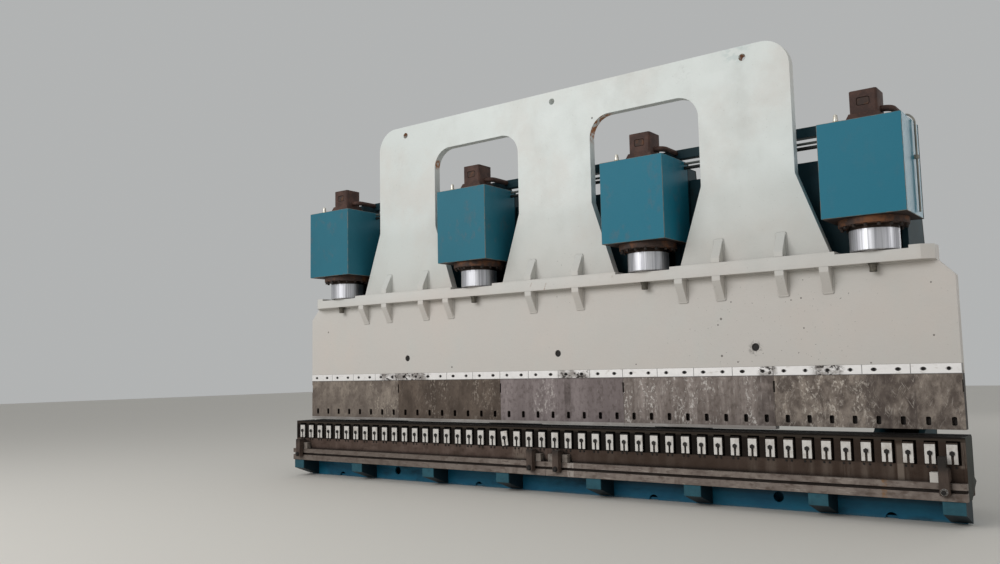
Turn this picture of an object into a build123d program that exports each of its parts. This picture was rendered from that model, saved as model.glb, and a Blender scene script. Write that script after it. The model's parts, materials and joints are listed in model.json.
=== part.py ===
from build123d import *
import os

os.makedirs("parts", exist_ok=True)

# Frame of the press: X runs along the bending line, Y to the back, Z up from the floor.
# The origin is on the floor, at the middle of the length, under the middle of the ram plate.
machine_length = 10000.0
half_length = machine_length / 2
cylinder_pitch = 2800.0
cylinder_axes = [cylinder_pitch * step for step in (-1.5, -0.5, 0.5, 1.5)]
outer_axis_x = cylinder_axes[-1]
window_axis_x = cylinder_axes[-2]
stroke = 250.0

# Clearances between pieces that slide, and between a piece and the hole it only sits in
running_clearance = 0.05
sitting_clearance = 0.3

# Base under the bed: a closed box beam set back, with brackets under the overhang
base_height = 262.0
base_end_inset = 40.0
base_half_length = half_length - base_end_inset
base_front_y = -85.0
base_wall = 30.0
arch_radius = 65.0
arch_xs = (1400.0, 4225.0)
hole_radius = 60.0
hole_x = 3000.0
hole_z = 145.0
bracket_width = 215.0
bracket_front_y = -422.0
bracket_lip_height = 132.0
bracket_root_z = 8.0
bracket_end_inset = 95.0
bracket_xs = (725.0, 2085.0, 3560.0, half_length - bracket_end_inset)

# Bed: two halves end to end, with a pocket for each clamp in front and a groove for the die
bed_height = 628.0
bed_top_z = base_height + bed_height
bed_front_y = -360.0
bed_back_y = 180.0
bed_joint_gap = 2.0
bed_lip_height = 35.0
pocket_height = 243.0
pocket_depth = 90.0
pocket_top_z = bed_top_z - bed_lip_height
pocket_bottom_z = pocket_top_z - pocket_height
die_groove_width = 60.0
die_groove_depth = 40.0

# Rails along the bed's foot, with a groove for bolt heads
rail_proud = 75.0
rail_front_y = bed_front_y - rail_proud
rail_height = 180.0
rail_top_z = base_height + rail_height
rail_groove_rise = 83.0
rail_groove_height = 32.0
rail_groove_depth = 40.0
rail_groove_bottom_z = base_height + rail_groove_rise
rail_groove_top_z = rail_groove_bottom_z + rail_groove_height

# Clamps in the pockets: a wedge block, a slotted plate on its face and the bolt that pinches it
clamp_count = 48
clamp_pitch = machine_length / clamp_count
clamp_width = 102.0
clamp_shift = 13.0
clamp_rise = 12.0
clamp_bottom_z = pocket_bottom_z + clamp_rise
clamp_height = 197.0
clamp_plate = 12.0
clamp_front_y = bed_front_y - clamp_plate
clamp_slot = 26.0
clamp_bolt_rise = 108.0
clamp_bolt_z = clamp_bottom_z + clamp_bolt_rise
clamp_bolt_flats = 48.0
clamp_bolt_head = 15.0
tilted_clamp = 20
tilted_clamp_angle = 7.0
wedge_back_gap = 7.0
wedge_front_gap = 19.0
pocket_left_gap = 2.0
pocket_right_gap = 30.0
pocket_width = pocket_left_gap + clamp_width + pocket_right_gap
clamp_xs = [(number - (clamp_count - 1) / 2) * clamp_pitch + clamp_shift for number in range(clamp_count)]

# Tie bars across the rails, and the spacer pads beside them
tie_width = 92.0
tie_thickness = 75.0
tie_front_y = rail_front_y - tie_thickness
tie_rise = 61.0
tie_bottom_z = base_height + tie_rise
tie_nose_height = 100.0
tie_nose_slope = 40.0
tie_nose_gap = 18.0
tie_nose_bottom_z = rail_top_z + tie_nose_gap
tie_nose_top_z = tie_nose_bottom_z + tie_nose_height
tie_head_z = tie_nose_top_z + tie_nose_slope
tie_neck_width = 72.0
tie_neck_height = 112.0
tie_centre_x = 208.0
tie_end_inset = 160.0
tie_bolt_radius = 15.0
tie_bolt_z = rail_groove_bottom_z + rail_groove_height / 2
tie_bolt_head_radius = 30.0
tie_bolt_head = 22.0
tie_washer_radius = 36.0
tie_washer = 6.0
spacer_width = 80.0
spacer_height = 103.0
spacer_centres = (-110.0, 86.0, 308.0)
spacer_end_inset = 262.0
end_plate_thickness = 35.0
end_plate_back_y = 0.0
bulge_rise = 158.0
bulge_z = base_height + bulge_rise
bulge_reach = 95.0
bulge_half_height = 50.0
end_plate_foot_cut = 190.0
rail_half_length = half_length + end_plate_thickness

# Tool holders that hang from the ram, and the lip bars under them
closed_gap = 60.0
holder_count = 5
holder_length = machine_length / holder_count
holder_gap = 2.0
holder_bottom_z = bed_top_z + closed_gap
holder_height = 584.0
slots_per_holder = 8
slot_width = 50.0
slot_height = 90.0
slot_corner = 16.0
slot_depth = 60.0
slot_rise = 87.0
slot_shift = 20.0
slot_z = holder_bottom_z + slot_rise
notch_width = 22.0
notch_height = 130.0
notch_depth = 30.0
notch_rise = 455.0
notch_z = holder_bottom_z + notch_rise
lip_bar_height = 38.0
lip_bar_proud = 3.0
lip_bar_count = 4

# Ram plate: one flat plate, with an apron below the shelf and a windowed crown above it
ram_thickness = 120.0
ram_front_y = -ram_thickness / 2
ram_back_y = ram_thickness / 2
ram_bottom_z = holder_bottom_z + holder_height
apron_height = 1213.0
shoulder_width = 175.0
shoulder_drop = 180.0
plug_rise = 338.0
plug_z = ram_bottom_z + plug_rise
plug_radius = 46.0
plug_depth = 60.0
plug_recess = 14.0

# Clamp bars along the bottom of the ram
bar_count = 20
bar_pitch = machine_length / bar_count
bar_gap = 2.0
bar_height = 106.0
bar_thickness = 40.0
bar_proud = 6.0
bar_front_y = ram_front_y - bar_proud
tang_thickness = 30.0
tang_height = 32.0
tang_front_y = bar_front_y + bar_thickness
lip_front_y = tang_front_y + tang_thickness
bar_top_z = ram_bottom_z + bar_height
screws_per_bar = 2
screw_head_radius = 20.0
screw_head_height = 22.0
screw_recess = 30.0
screw_socket = 17.0
screw_socket_depth = 12.0

# Cylinders: rod and piston, gland ring and the housing round them
rod_radius = 265.0
rod_chamfer = 8.0
piston_lip = 25.0
bore_radius = rod_radius + piston_lip
housing_side_wall = 158.0
housing_front_wall = 127.0
housing_back_wall = 30.0
housing_width = 2 * (bore_radius + housing_side_wall)
housing_front_y = -bore_radius - housing_front_wall
housing_back_y = bore_radius + housing_back_wall
ring_flange = 82.0
ring_radius = bore_radius + ring_flange
ring_bolt_inset = 31.0
ring_bolt_circle = ring_radius - ring_bolt_inset
ring_bolt_count = 16
ring_bolt_flats = 36.0
ring_bolt_head = 32.0

# Shelf across the ram, with a milled seat under each piston rod
shelf_thickness = 159.0
shelf_bottom_z = ram_bottom_z + apron_height
shelf_top_z = shelf_bottom_z + shelf_thickness
shelf_reach = 200.0
shelf_corner_x = 120.0
shelf_corner_y = 100.0
seat_depth = 34.0
seat_clearance = 15.0
seat_half_width = ring_radius + seat_clearance
seat_z = shelf_top_z - seat_depth
pad_radius = 195.0
pad_thickness = 12.0
rod_bottom_z = seat_z + pad_thickness
rod_bolt_y = 130.0
rod_bolt_radius = 27.0
rod_bolt_grip = 60.0
rod_bolt_head_radius = 40.0
rod_bolt_head = 55.0
washer_top_radius = 54.0
washer_height = 40.0

# Levels of the cylinders, from the stroke that the shelf has under the gland rings
stroke_clearance = 14.0
ring_bottom_z = shelf_top_z + stroke + stroke_clearance
ring_height = 75.0
housing_bottom_z = ring_bottom_z + ring_height
housing_height = 1072.0
housing_top_z = housing_bottom_z + housing_height
bore_top_wall = 180.0
bore_top_z = housing_top_z - bore_top_wall
spigot_height = 55.0
spigot_top_z = housing_bottom_z + spigot_height
piston_height = 150.0
piston_bottom_z = spigot_top_z + sitting_clearance
piston_top_z = piston_bottom_z + piston_height
seal_height = 20.0
seal_depth = 15.0
rod_seal_rise = 10.0
rod_seal_z = housing_bottom_z + rod_seal_rise
piston_seal_rise = 65.0
piston_seal_z = piston_bottom_z + piston_seal_rise

# Valve blocks, pipes and fittings on the housings
valve_base_width = 420.0
valve_neck_width = 320.0
valve_base_height = 123.0
valve_body_width = 300.0
valve_body_height = 260.0
valve_edge = 18.0
valve_neck_z = housing_top_z + valve_base_height
valve_top_z = valve_neck_z + valve_body_height
port_width = 140.0
port_height = 90.0
port_depth = 45.0
port_rise = 130.0
port_z = valve_neck_z + port_rise
arm_radius = 36.0
arm_rise = 42.0
arm_z = valve_neck_z + arm_rise
arm_reach = 110.0
arm_bend_radius = 100.0
fitting_x = -275.0
fitting_inset_y = 157.0
fitting_y = housing_front_y + fitting_inset_y
fitting_flats = 60.0
fitting_nut_height = 45.0
fitting_cone_radius = 24.0
fitting_tip_radius = 12.0
fitting_cone_height = 75.0
elbow_radius = 11.0
elbow_reach = 62.0
elbow_rise = 30.0
elbow_bend_radius = 20.0
oil_pipe_inset_y = 85.0
oil_pipe_y = housing_back_y - oil_pipe_inset_y
upper_pipe_drop = 32.0
upper_pipe_z = housing_top_z - upper_pipe_drop
upper_pipe_radius = 16.0
lower_pipe_drop = 89.0
lower_pipe_z = housing_top_z - lower_pipe_drop
lower_pipe_radius = 22.0
drain_radius = 11.0
drain_y = 90.0
drain_inset_x = 118.0
drain_clear_x = 22.0
drain_start_rise = 150.0
drain_bend_radius = 110.0
drain_end_rise = 45.0
drain_end_z = housing_bottom_z + drain_end_rise
clip_drop = 417.0
clip_z = housing_top_z - clip_drop
clip_height = 40.0
clip_width = 60.0

# Crown of the ram plate, whose windows and sides clear the housings
crown_side_gap = 378.0
window_side_gap = 345.0
foot_gap = 23.0
knee_rise = 648.0
knee_z = housing_bottom_z + knee_rise
knee_radius = 60.0
window_headroom = 380.0
window_top_z = valve_top_z + window_headroom
window_corner_radius = 295.0
crown_depth = 482.0
crown_top_z = window_top_z + crown_depth
crown_corner_radius = 350.0
crown_half_width = outer_axis_x - housing_width / 2 - crown_side_gap
crown_foot_x = outer_axis_x - housing_width / 2 - foot_gap
window_half_width = housing_width / 2 + window_side_gap
window_foot_half_width = housing_width / 2 + foot_gap
lifting_hole_radius = 44.0
lifting_hole_drop = 145.0
lifting_hole_z = crown_top_z - lifting_hole_drop

# Gussets that tie the shelf to the plate, in front and behind
gusset_width = 108.0
centre_gusset_offset = 1013.0
window_gusset_offset = 500.0
inner_pier_gusset_offset = 998.0
outer_pier_gusset_offset = 1025.0
foot_gusset_offset = 515.0
gusset_stub = 60.0
gusset_reach = 290.0
gusset_tip = 12.0
pier_gusset_xs = (
    window_axis_x - centre_gusset_offset,
    window_axis_x + inner_pier_gusset_offset,
    outer_axis_x - outer_pier_gusset_offset,
)
lower_gusset_xs = pier_gusset_xs + (window_axis_x + window_gusset_offset, outer_axis_x - foot_gusset_offset)

# C-frames behind the cylinders: two side plates, a spine behind and a head plate in front
head_plate = 40.0
frame_half_width = 275.0
frame_plate = 70.0
frame_front_y = housing_back_y + head_plate
frame_depth = 780.0
frame_back_y = frame_front_y + frame_depth
frame_head_setback = 200.0
frame_head_back_y = frame_back_y - frame_head_setback
frame_head_rise = 23.0
frame_head_top_z = housing_top_z + frame_head_rise
frame_shoulder_drop = 1240.0
frame_shoulder_z = frame_head_top_z - frame_shoulder_drop
throat_depth = 290.0
throat_back_y = frame_front_y + throat_depth
throat_radius = 220.0
throat_floor_drop = 50.0
throat_bottom_z = bed_top_z - throat_floor_drop
arm_nose_radius = 50.0
spine_thickness = 30.0
cross_plate_thickness = 30.0
cross_plate_setback = 40.0
cross_plate_y = frame_front_y + cross_plate_setback
cross_plate_height = 1595.0
cross_plate_drop = 245.0
cross_plate_top_z = frame_head_top_z - cross_plate_drop
saddle_height = 60.0
header_setback = 20.0
header_front_y = frame_front_y + header_setback
header_width = 120.0
header_height = 122.0
header_bottom_z = frame_head_top_z + saddle_height
header_half_length = outer_axis_x + frame_half_width

# Guides: a rail on the back of the ram runs in a grooved block on each C-frame
guide_rail_width = 120.0
guide_rail_thickness = 60.0
guide_rail_length = 670.0
guide_rail_gap = 22.0
guide_rail_top_z = shelf_bottom_z - washer_height - rod_bolt_head - guide_rail_gap
guide_rail_bottom_z = guide_rail_top_z - guide_rail_length
guide_block_width = 260.0
guide_block_height = 350.0
guide_block_drop = 20.0
guide_block_top_z = guide_rail_top_z - guide_block_drop
guide_block_bottom_z = guide_block_top_z - guide_block_height
throat_gap = 100.0
throat_top_z = guide_block_bottom_z - throat_gap


# Base beam, a welded box closed at its ends, with arched openings and two round holes in its front wall
base_middle = ((base_front_y + bed_back_y) / 2, base_height / 2)
base_depth = bed_back_y - base_front_y
with BuildPart() as base_beam:
    with BuildSketch(Plane.YZ.offset(-base_half_length)):
        with Locations(base_middle):
            Rectangle(base_depth, base_height)
    extrude(amount=2 * base_half_length)
    with BuildSketch(Plane.YZ.offset(base_wall - base_half_length)):
        with Locations(base_middle):
            Rectangle(base_depth - 2 * base_wall, base_height - 2 * base_wall)
    extrude(amount=2 * (base_half_length - base_wall), mode=Mode.SUBTRACT)
    with BuildSketch(Plane.XZ.offset(-base_front_y)):
        with Locations(*[(side * x, 0) for side in (-1, 1) for x in arch_xs]):
            Circle(arch_radius)
        with Locations((-hole_x, hole_z), (hole_x, hole_z)):
            Circle(hole_radius)
    extrude(amount=-base_wall, mode=Mode.SUBTRACT)
base_beam.part.label = "base_beam"
export_step(base_beam.part, "parts/base_beam.step")

# Brackets under the bed's overhang, their undersides sloping back to the base
bracket_planes = [Plane.YZ.offset(side * x - bracket_width / 2) for side in (-1, 1) for x in bracket_xs]
with BuildPart() as base_brackets:
    with BuildSketch(*bracket_planes):
        with BuildLine():
            Polyline(
                (bracket_front_y, base_height),
                (bracket_front_y, base_height - bracket_lip_height),
                (base_front_y, bracket_root_z),
                (base_front_y, base_height),
                close=True,
            )
        make_face()
    extrude(amount=bracket_width)
base_brackets.part.label = "base_brackets"
export_step(base_brackets.part, "parts/base_brackets.step")

# Bed halves: a heavy beam with the clamp pockets in front and the die groove on top
bed_half_length = half_length - bed_joint_gap / 2
for side_name, side, start_x in (("left", -1, -half_length), ("right", 1, bed_joint_gap / 2)):
    half_clamp_xs = [x for x in clamp_xs if side * x > 0]
    pocket_planes = [Plane.YZ.offset(x - clamp_width / 2 - pocket_left_gap) for x in half_clamp_xs]
    with BuildPart() as bed_half:
        with BuildSketch(Plane.YZ.offset(start_x)):
            with BuildLine():
                Polyline(
                    (bed_front_y, base_height),
                    (bed_front_y, bed_top_z),
                    (-die_groove_width / 2, bed_top_z),
                    (-die_groove_width / 2, bed_top_z - die_groove_depth),
                    (die_groove_width / 2, bed_top_z - die_groove_depth),
                    (die_groove_width / 2, bed_top_z),
                    (bed_back_y, bed_top_z),
                    (bed_back_y, base_height),
                    close=True,
                )
            make_face()
        extrude(amount=bed_half_length)
        with BuildSketch(*pocket_planes):
            with Locations((bed_front_y + pocket_depth / 2, pocket_bottom_z + pocket_height / 2)):
                Rectangle(pocket_depth, pocket_height)
        extrude(amount=pocket_width, mode=Mode.SUBTRACT)
    bed_half.part.label = f"bed_{side_name}"
    export_step(bed_half.part, f"parts/bed_{side_name}.step")

# Front rails, one along each bed half and its end plate, with a groove for bolt heads
with BuildPart() as front_rails:
    with BuildSketch(Plane.YZ.offset(-rail_half_length), Plane.YZ.offset(bed_joint_gap / 2)):
        with BuildLine():
            Polyline(
                (bed_front_y, base_height),
                (rail_front_y, base_height),
                (rail_front_y, rail_groove_bottom_z),
                (rail_front_y + rail_groove_depth, rail_groove_bottom_z),
                (rail_front_y + rail_groove_depth, rail_groove_top_z),
                (rail_front_y, rail_groove_top_z),
                (rail_front_y, rail_top_z),
                (bed_front_y, rail_top_z),
                close=True,
            )
        make_face()
    extrude(amount=rail_half_length - bed_joint_gap / 2)
front_rails.part.label = "front_rails"
export_step(front_rails.part, "parts/front_rails.step")

# End plates on the front part of the bed's ends, each with a nose at the back and its heel cut away
with BuildPart() as end_plates:
    with BuildSketch(Plane.YZ.offset(-half_length - end_plate_thickness), Plane.YZ.offset(half_length)):
        with BuildLine():
            Polyline(
                (bed_front_y, base_height),
                (bed_front_y, bed_top_z),
                (end_plate_back_y, bed_top_z),
                (end_plate_back_y, bulge_z + bulge_half_height),
                (end_plate_back_y + bulge_reach, bulge_z),
                (end_plate_back_y, bulge_z - bulge_half_height),
                (end_plate_back_y - end_plate_foot_cut, base_height),
                close=True,
            )
        make_face()
    extrude(amount=end_plate_thickness)
end_plates.part.label = "end_plates"
export_step(end_plates.part, "parts/end_plates.step")

# Clamps in the pockets: a wedge block, a slotted plate on its face and the bolt that pinches it
with BuildPart() as wedge_blocks:
    with BuildSketch(*[Plane.YZ.offset(x - clamp_width / 2) for x in clamp_xs]):
        with BuildLine():
            Polyline(
                (bed_front_y, pocket_bottom_z),
                (bed_front_y + pocket_depth, pocket_bottom_z),
                (bed_front_y + pocket_depth, pocket_top_z - wedge_back_gap),
                (bed_front_y, pocket_top_z - wedge_front_gap),
                close=True,
            )
        make_face()
    extrude(amount=clamp_width)
wedge_blocks.part.label = "wedge_blocks"
export_step(wedge_blocks.part, "parts/wedge_blocks.step")

clamp_tilts = [tilted_clamp_angle if number == tilted_clamp else 0 for number in range(clamp_count)]
plate_spots = [Location((x, clamp_bolt_z), tilt) for x, tilt in zip(clamp_xs, clamp_tilts)]
plate_drop = clamp_bottom_z + clamp_height / 2 - clamp_bolt_z
slot_length = clamp_bolt_z - clamp_bottom_z
with BuildPart() as clamp_plates:
    with BuildSketch(Plane.XZ.offset(-bed_front_y)):
        with Locations(*plate_spots):
            with Locations((0, plate_drop)):
                Rectangle(clamp_width, clamp_height)
            Circle(clamp_slot / 2, mode=Mode.SUBTRACT)
            with Locations((0, -slot_length / 2)):
                Rectangle(clamp_slot, slot_length, mode=Mode.SUBTRACT)
    extrude(amount=clamp_plate)
clamp_plates.part.label = "clamp_plates"
export_step(clamp_plates.part, "parts/clamp_plates.step")

with BuildPart() as clamp_bolts:
    with BuildSketch(Plane.XZ.offset(-clamp_front_y)):
        with Locations(*[(centre_x, clamp_bolt_z) for centre_x in clamp_xs]):
            RegularPolygon(clamp_bolt_flats / 2, 6, major_radius=False, rotation=30)
    extrude(amount=clamp_bolt_head)
clamp_bolts.part.label = "clamp_bolts"
export_step(clamp_bolts.part, "parts/clamp_bolts.step")

# Tie bars over the joint and at both ends, bolted into the rail groove, their noses on the bed face
tie_xs = (tie_end_inset - half_length, -tie_centre_x, tie_centre_x, half_length - tie_end_inset)
with BuildPart() as tie_bars:
    with BuildSketch(*[Plane.YZ.offset(x - tie_width / 2) for x in tie_xs]):
        with BuildLine():
            Polyline(
                (tie_front_y, tie_bottom_z),
                (tie_front_y, tie_head_z),
                (rail_front_y, tie_head_z),
                (bed_front_y, tie_nose_top_z),
                (bed_front_y, tie_nose_bottom_z),
                (rail_front_y, tie_nose_bottom_z),
                (rail_front_y, tie_bottom_z),
                close=True,
            )
        make_face()
    extrude(amount=tie_width)
    with BuildSketch(Plane.XZ.offset(-tie_front_y)):
        with Locations(*[(x, tie_bolt_z) for x in tie_xs]):
            Circle(tie_bolt_radius + sitting_clearance)
    extrude(amount=tie_front_y - rail_front_y, mode=Mode.SUBTRACT)
    with BuildSketch(Plane.XY.offset(tie_head_z)):
        with Locations((tie_xs[-1] - (tie_width - tie_neck_width) / 2, tie_front_y + tie_thickness / 2)):
            Rectangle(tie_neck_width, tie_thickness)
    extrude(amount=tie_neck_height)
tie_bars.part.label = "tie_bars"
export_step(tie_bars.part, "parts/tie_bars.step")

tie_bolt_spots = [(x, tie_bolt_z) for x in tie_xs]
with BuildPart() as tie_bolts:
    with BuildSketch(Plane.XZ.offset(-tie_front_y)):
        with Locations(*tie_bolt_spots):
            Circle(tie_washer_radius)
    extrude(amount=tie_washer)
    with BuildSketch(Plane.XZ.offset(tie_washer - tie_front_y)):
        with Locations(*tie_bolt_spots):
            RegularPolygon(tie_bolt_head_radius, 6)
    extrude(amount=tie_bolt_head)
    with BuildSketch(Plane.XZ.offset(-tie_front_y)):
        with Locations(*tie_bolt_spots):
            Circle(tie_bolt_radius)
    extrude(amount=tie_front_y - rail_front_y - rail_groove_depth)
tie_bolts.part.label = "tie_bolts"
export_step(tie_bolts.part, "parts/tie_bolts.step")

# Spacer pads that stand on the rails beside the tie bars, against the bed face
spacer_xs = (spacer_end_inset - half_length,) + spacer_centres + (half_length - spacer_end_inset,)
with BuildPart() as spacer_pads:
    with BuildSketch(Plane.XZ.offset(-bed_front_y)):
        with Locations(*[(x, rail_top_z + spacer_height / 2) for x in spacer_xs]):
            Rectangle(spacer_width, spacer_height)
    extrude(amount=rail_proud)
spacer_pads.part.label = "spacer_pads"
export_step(spacer_pads.part, "parts/spacer_pads.step")

# C-frames: two thick side plates each, cut out at the throat
for number, axis_x in enumerate(cylinder_axes, start=1):
    with BuildPart() as c_frame:
        left_plane = Plane.YZ.offset(axis_x - frame_half_width)
        right_plane = Plane.YZ.offset(axis_x + frame_half_width - frame_plate)
        with BuildSketch(left_plane, right_plane) as profile:
            with BuildLine():
                Polyline(
                    (bed_back_y, 0),
                    (frame_back_y, 0),
                    (frame_back_y, frame_shoulder_z),
                    (frame_head_back_y, frame_head_top_z),
                    (frame_front_y, frame_head_top_z),
                    (frame_front_y, throat_top_z),
                    (throat_back_y, throat_top_z),
                    (throat_back_y, throat_bottom_z),
                    (bed_back_y, throat_bottom_z),
                    close=True,
                )
            make_face()
            corners = profile.vertices()
            fillet(corners.filter_by_position(Axis.X, throat_back_y - 1, throat_back_y + 1), throat_radius)
            corners = profile.vertices()
            front_corners = corners.filter_by_position(Axis.X, frame_front_y - 1, frame_front_y + 1)
            fillet(front_corners.sort_by(Axis.Y)[0], arm_nose_radius)
        extrude(amount=frame_plate)
    c_frame.part.label = f"c_frame_{number}"
    export_step(c_frame.part, f"parts/c_frame_{number}.step")

# Spines closing the back of each C-frame
with BuildPart() as frame_spines:
    with BuildSketch(*[Plane.YZ.offset(axis_x - frame_half_width) for axis_x in cylinder_axes]):
        with BuildLine():
            Polyline(
                (frame_back_y, 0),
                (frame_back_y + spine_thickness, 0),
                (frame_back_y + spine_thickness, frame_shoulder_z),
                (frame_head_back_y + spine_thickness, frame_head_top_z),
                (frame_head_back_y, frame_head_top_z),
                (frame_back_y, frame_shoulder_z),
                close=True,
            )
        make_face()
    extrude(amount=2 * frame_half_width)
frame_spines.part.label = "frame_spines"
export_step(frame_spines.part, "parts/frame_spines.step")

# Head plates between each housing and its C-frame
with BuildPart() as head_plates:
    with BuildSketch(Plane.XZ.offset(-housing_back_y)):
        with Locations(*[(axis_x, housing_bottom_z + housing_height / 2) for axis_x in cylinder_axes]):
            Rectangle(housing_width, housing_height)
    extrude(amount=-head_plate)
head_plates.part.label = "head_plates"
export_step(head_plates.part, "parts/head_plates.step")

# Cross plates joining neighbouring C-frames behind the ram
with BuildPart() as cross_plates:
    with BuildSketch(Plane.XZ.offset(-cross_plate_y)):
        for left_axis in cylinder_axes[:-1]:
            with Locations((left_axis + cylinder_pitch / 2, cross_plate_top_z - cross_plate_height / 2)):
                Rectangle(cylinder_pitch - 2 * frame_half_width, cross_plate_height)
    extrude(amount=-cross_plate_thickness)
cross_plates.part.label = "cross_plates"
export_step(cross_plates.part, "parts/cross_plates.step")

# Guide blocks on the C-frames, each grooved for a guide rail on the back of the ram
rail_back_y = ram_back_y + guide_rail_thickness
with BuildPart() as guide_blocks:
    with BuildSketch(Plane.XY.offset(guide_block_bottom_z)):
        for axis_x in cylinder_axes:
            with Locations((axis_x, (ram_back_y + running_clearance + frame_front_y) / 2)):
                Rectangle(2 * frame_half_width, frame_front_y - ram_back_y - running_clearance)
            with Locations((axis_x, (ram_back_y + rail_back_y + running_clearance) / 2)):
                Rectangle(
                    guide_rail_width + 2 * running_clearance,
                    guide_rail_thickness + running_clearance,
                    mode=Mode.SUBTRACT,
                )
            for side in (-1, 1):
                with Locations((axis_x + side * (frame_half_width + guide_block_width / 2) / 2, ram_back_y)):
                    Rectangle(
                        frame_half_width - guide_block_width / 2,
                        2 * (frame_front_y - ram_back_y - frame_plate),
                        mode=Mode.SUBTRACT,
                    )
    extrude(amount=guide_block_height)
guide_blocks.part.label = "guide_blocks"
export_step(guide_blocks.part, "parts/guide_blocks.step")

with BuildPart() as guide_rails:
    with BuildSketch(Plane.XY.offset(guide_rail_bottom_z)):
        with Locations(*[(axis_x, ram_back_y + guide_rail_thickness / 2) for axis_x in cylinder_axes]):
            Rectangle(guide_rail_width, guide_rail_thickness)
    extrude(amount=guide_rail_length)
guide_rails.part.label = "guide_rails"
export_step(guide_rails.part, "parts/guide_rails.step")

# Ram plate: crown, flared feet and two cylinder windows, then the apron down to the clamp bars
with BuildPart() as ram_plate:
    with BuildSketch(Plane.XZ.offset(-ram_back_y)) as outline:
        with BuildLine():
            Polyline(
                (-half_length, ram_bottom_z),
                (half_length, ram_bottom_z),
                (half_length, shelf_bottom_z - shoulder_drop),
                (half_length - shoulder_width, shelf_bottom_z),
                (half_length - shoulder_width, shelf_top_z),
                (crown_foot_x, shelf_top_z),
                (crown_half_width, knee_z),
                (crown_half_width, crown_top_z),
                (-crown_half_width, crown_top_z),
                (-crown_half_width, knee_z),
                (-crown_foot_x, shelf_top_z),
                (shoulder_width - half_length, shelf_top_z),
                (shoulder_width - half_length, shelf_bottom_z),
                (-half_length, shelf_bottom_z - shoulder_drop),
                close=True,
            )
        make_face()
        fillet(outline.vertices().group_by(Axis.Y)[-1], crown_corner_radius)
    extrude(amount=ram_thickness)
    for axis_x in (-window_axis_x, window_axis_x):
        with BuildSketch(Plane.XZ.offset(-ram_back_y)) as window:
            with BuildLine():
                Polyline(
                    (axis_x - window_foot_half_width, shelf_top_z),
                    (axis_x + window_foot_half_width, shelf_top_z),
                    (axis_x + window_half_width, knee_z),
                    (axis_x + window_half_width, window_top_z),
                    (axis_x - window_half_width, window_top_z),
                    (axis_x - window_half_width, knee_z),
                    close=True,
                )
            make_face()
            fillet(window.vertices().group_by(Axis.Y)[-1], window_corner_radius)
            fillet(window.vertices().filter_by_position(Axis.Y, knee_z - 1, knee_z + 1), knee_radius)
        extrude(amount=ram_thickness, mode=Mode.SUBTRACT)
    with BuildSketch(Plane.XZ.offset(-ram_back_y)):
        with Locations(*[(axis_x, seat_z + seat_depth / 2) for axis_x in cylinder_axes]):
            Rectangle(2 * seat_half_width, seat_depth)
        with Locations(*[(x, lifting_hole_z) for x in (-cylinder_pitch, 0, cylinder_pitch)]):
            Circle(lifting_hole_radius)
    extrude(amount=ram_thickness, mode=Mode.SUBTRACT)
    with BuildSketch(Plane.XZ.offset(-ram_front_y)):
        with Locations(*[(x, plug_z) for x in (-cylinder_pitch, 0, cylinder_pitch)]):
            Circle(plug_radius + sitting_clearance)
    extrude(amount=-plug_depth, mode=Mode.SUBTRACT)
    with BuildSketch(Plane.XZ.offset(-ram_front_y)):
        with Locations((0, ram_bottom_z + bar_height / 2)):
            Rectangle(machine_length, bar_height)
    extrude(amount=ram_front_y - lip_front_y, mode=Mode.SUBTRACT)
ram_plate.part.label = "ram_plate"
export_step(ram_plate.part, "parts/ram_plate.step")

# Plugs in the three blind holes of the apron
with BuildPart() as hole_plugs:
    with BuildSketch(Plane.XZ.offset(-ram_front_y - plug_recess)):
        with Locations(*[(x, plug_z) for x in (-cylinder_pitch, 0, cylinder_pitch)]):
            Circle(plug_radius)
    extrude(amount=plug_recess - plug_depth)
hole_plugs.part.label = "hole_plugs"
export_step(hole_plugs.part, "parts/hole_plugs.step")

# Shelf halves, in front of the ram plate and behind it, with milled seats and rod bolt holes
shelf_half_length = half_length - shoulder_width
for side_name, side in (("front", -1), ("rear", 1)):
    with BuildPart() as shelf:
        with BuildSketch(Plane.XY.offset(shelf_bottom_z)):
            with BuildLine():
                Polyline(
                    (-shelf_half_length, side * ram_back_y),
                    (shelf_half_length, side * ram_back_y),
                    (shelf_half_length, side * (shelf_reach - shelf_corner_y)),
                    (shelf_half_length - shelf_corner_x, side * shelf_reach),
                    (shelf_corner_x - shelf_half_length, side * shelf_reach),
                    (-shelf_half_length, side * (shelf_reach - shelf_corner_y)),
                    close=True,
                )
            make_face()
            with Locations(*[(axis_x, side * rod_bolt_y) for axis_x in cylinder_axes]):
                Circle(rod_bolt_radius + sitting_clearance, mode=Mode.SUBTRACT)
        extrude(amount=shelf_thickness)
        with BuildSketch(Plane.XY.offset(shelf_top_z)):
            with Locations(*[(axis_x, 0) for axis_x in cylinder_axes]):
                Rectangle(2 * seat_half_width, 2 * shelf_reach)
        extrude(amount=-seat_depth, mode=Mode.SUBTRACT)
    shelf.part.label = f"shelf_{side_name}"
    export_step(shelf.part, f"parts/shelf_{side_name}.step")

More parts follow.
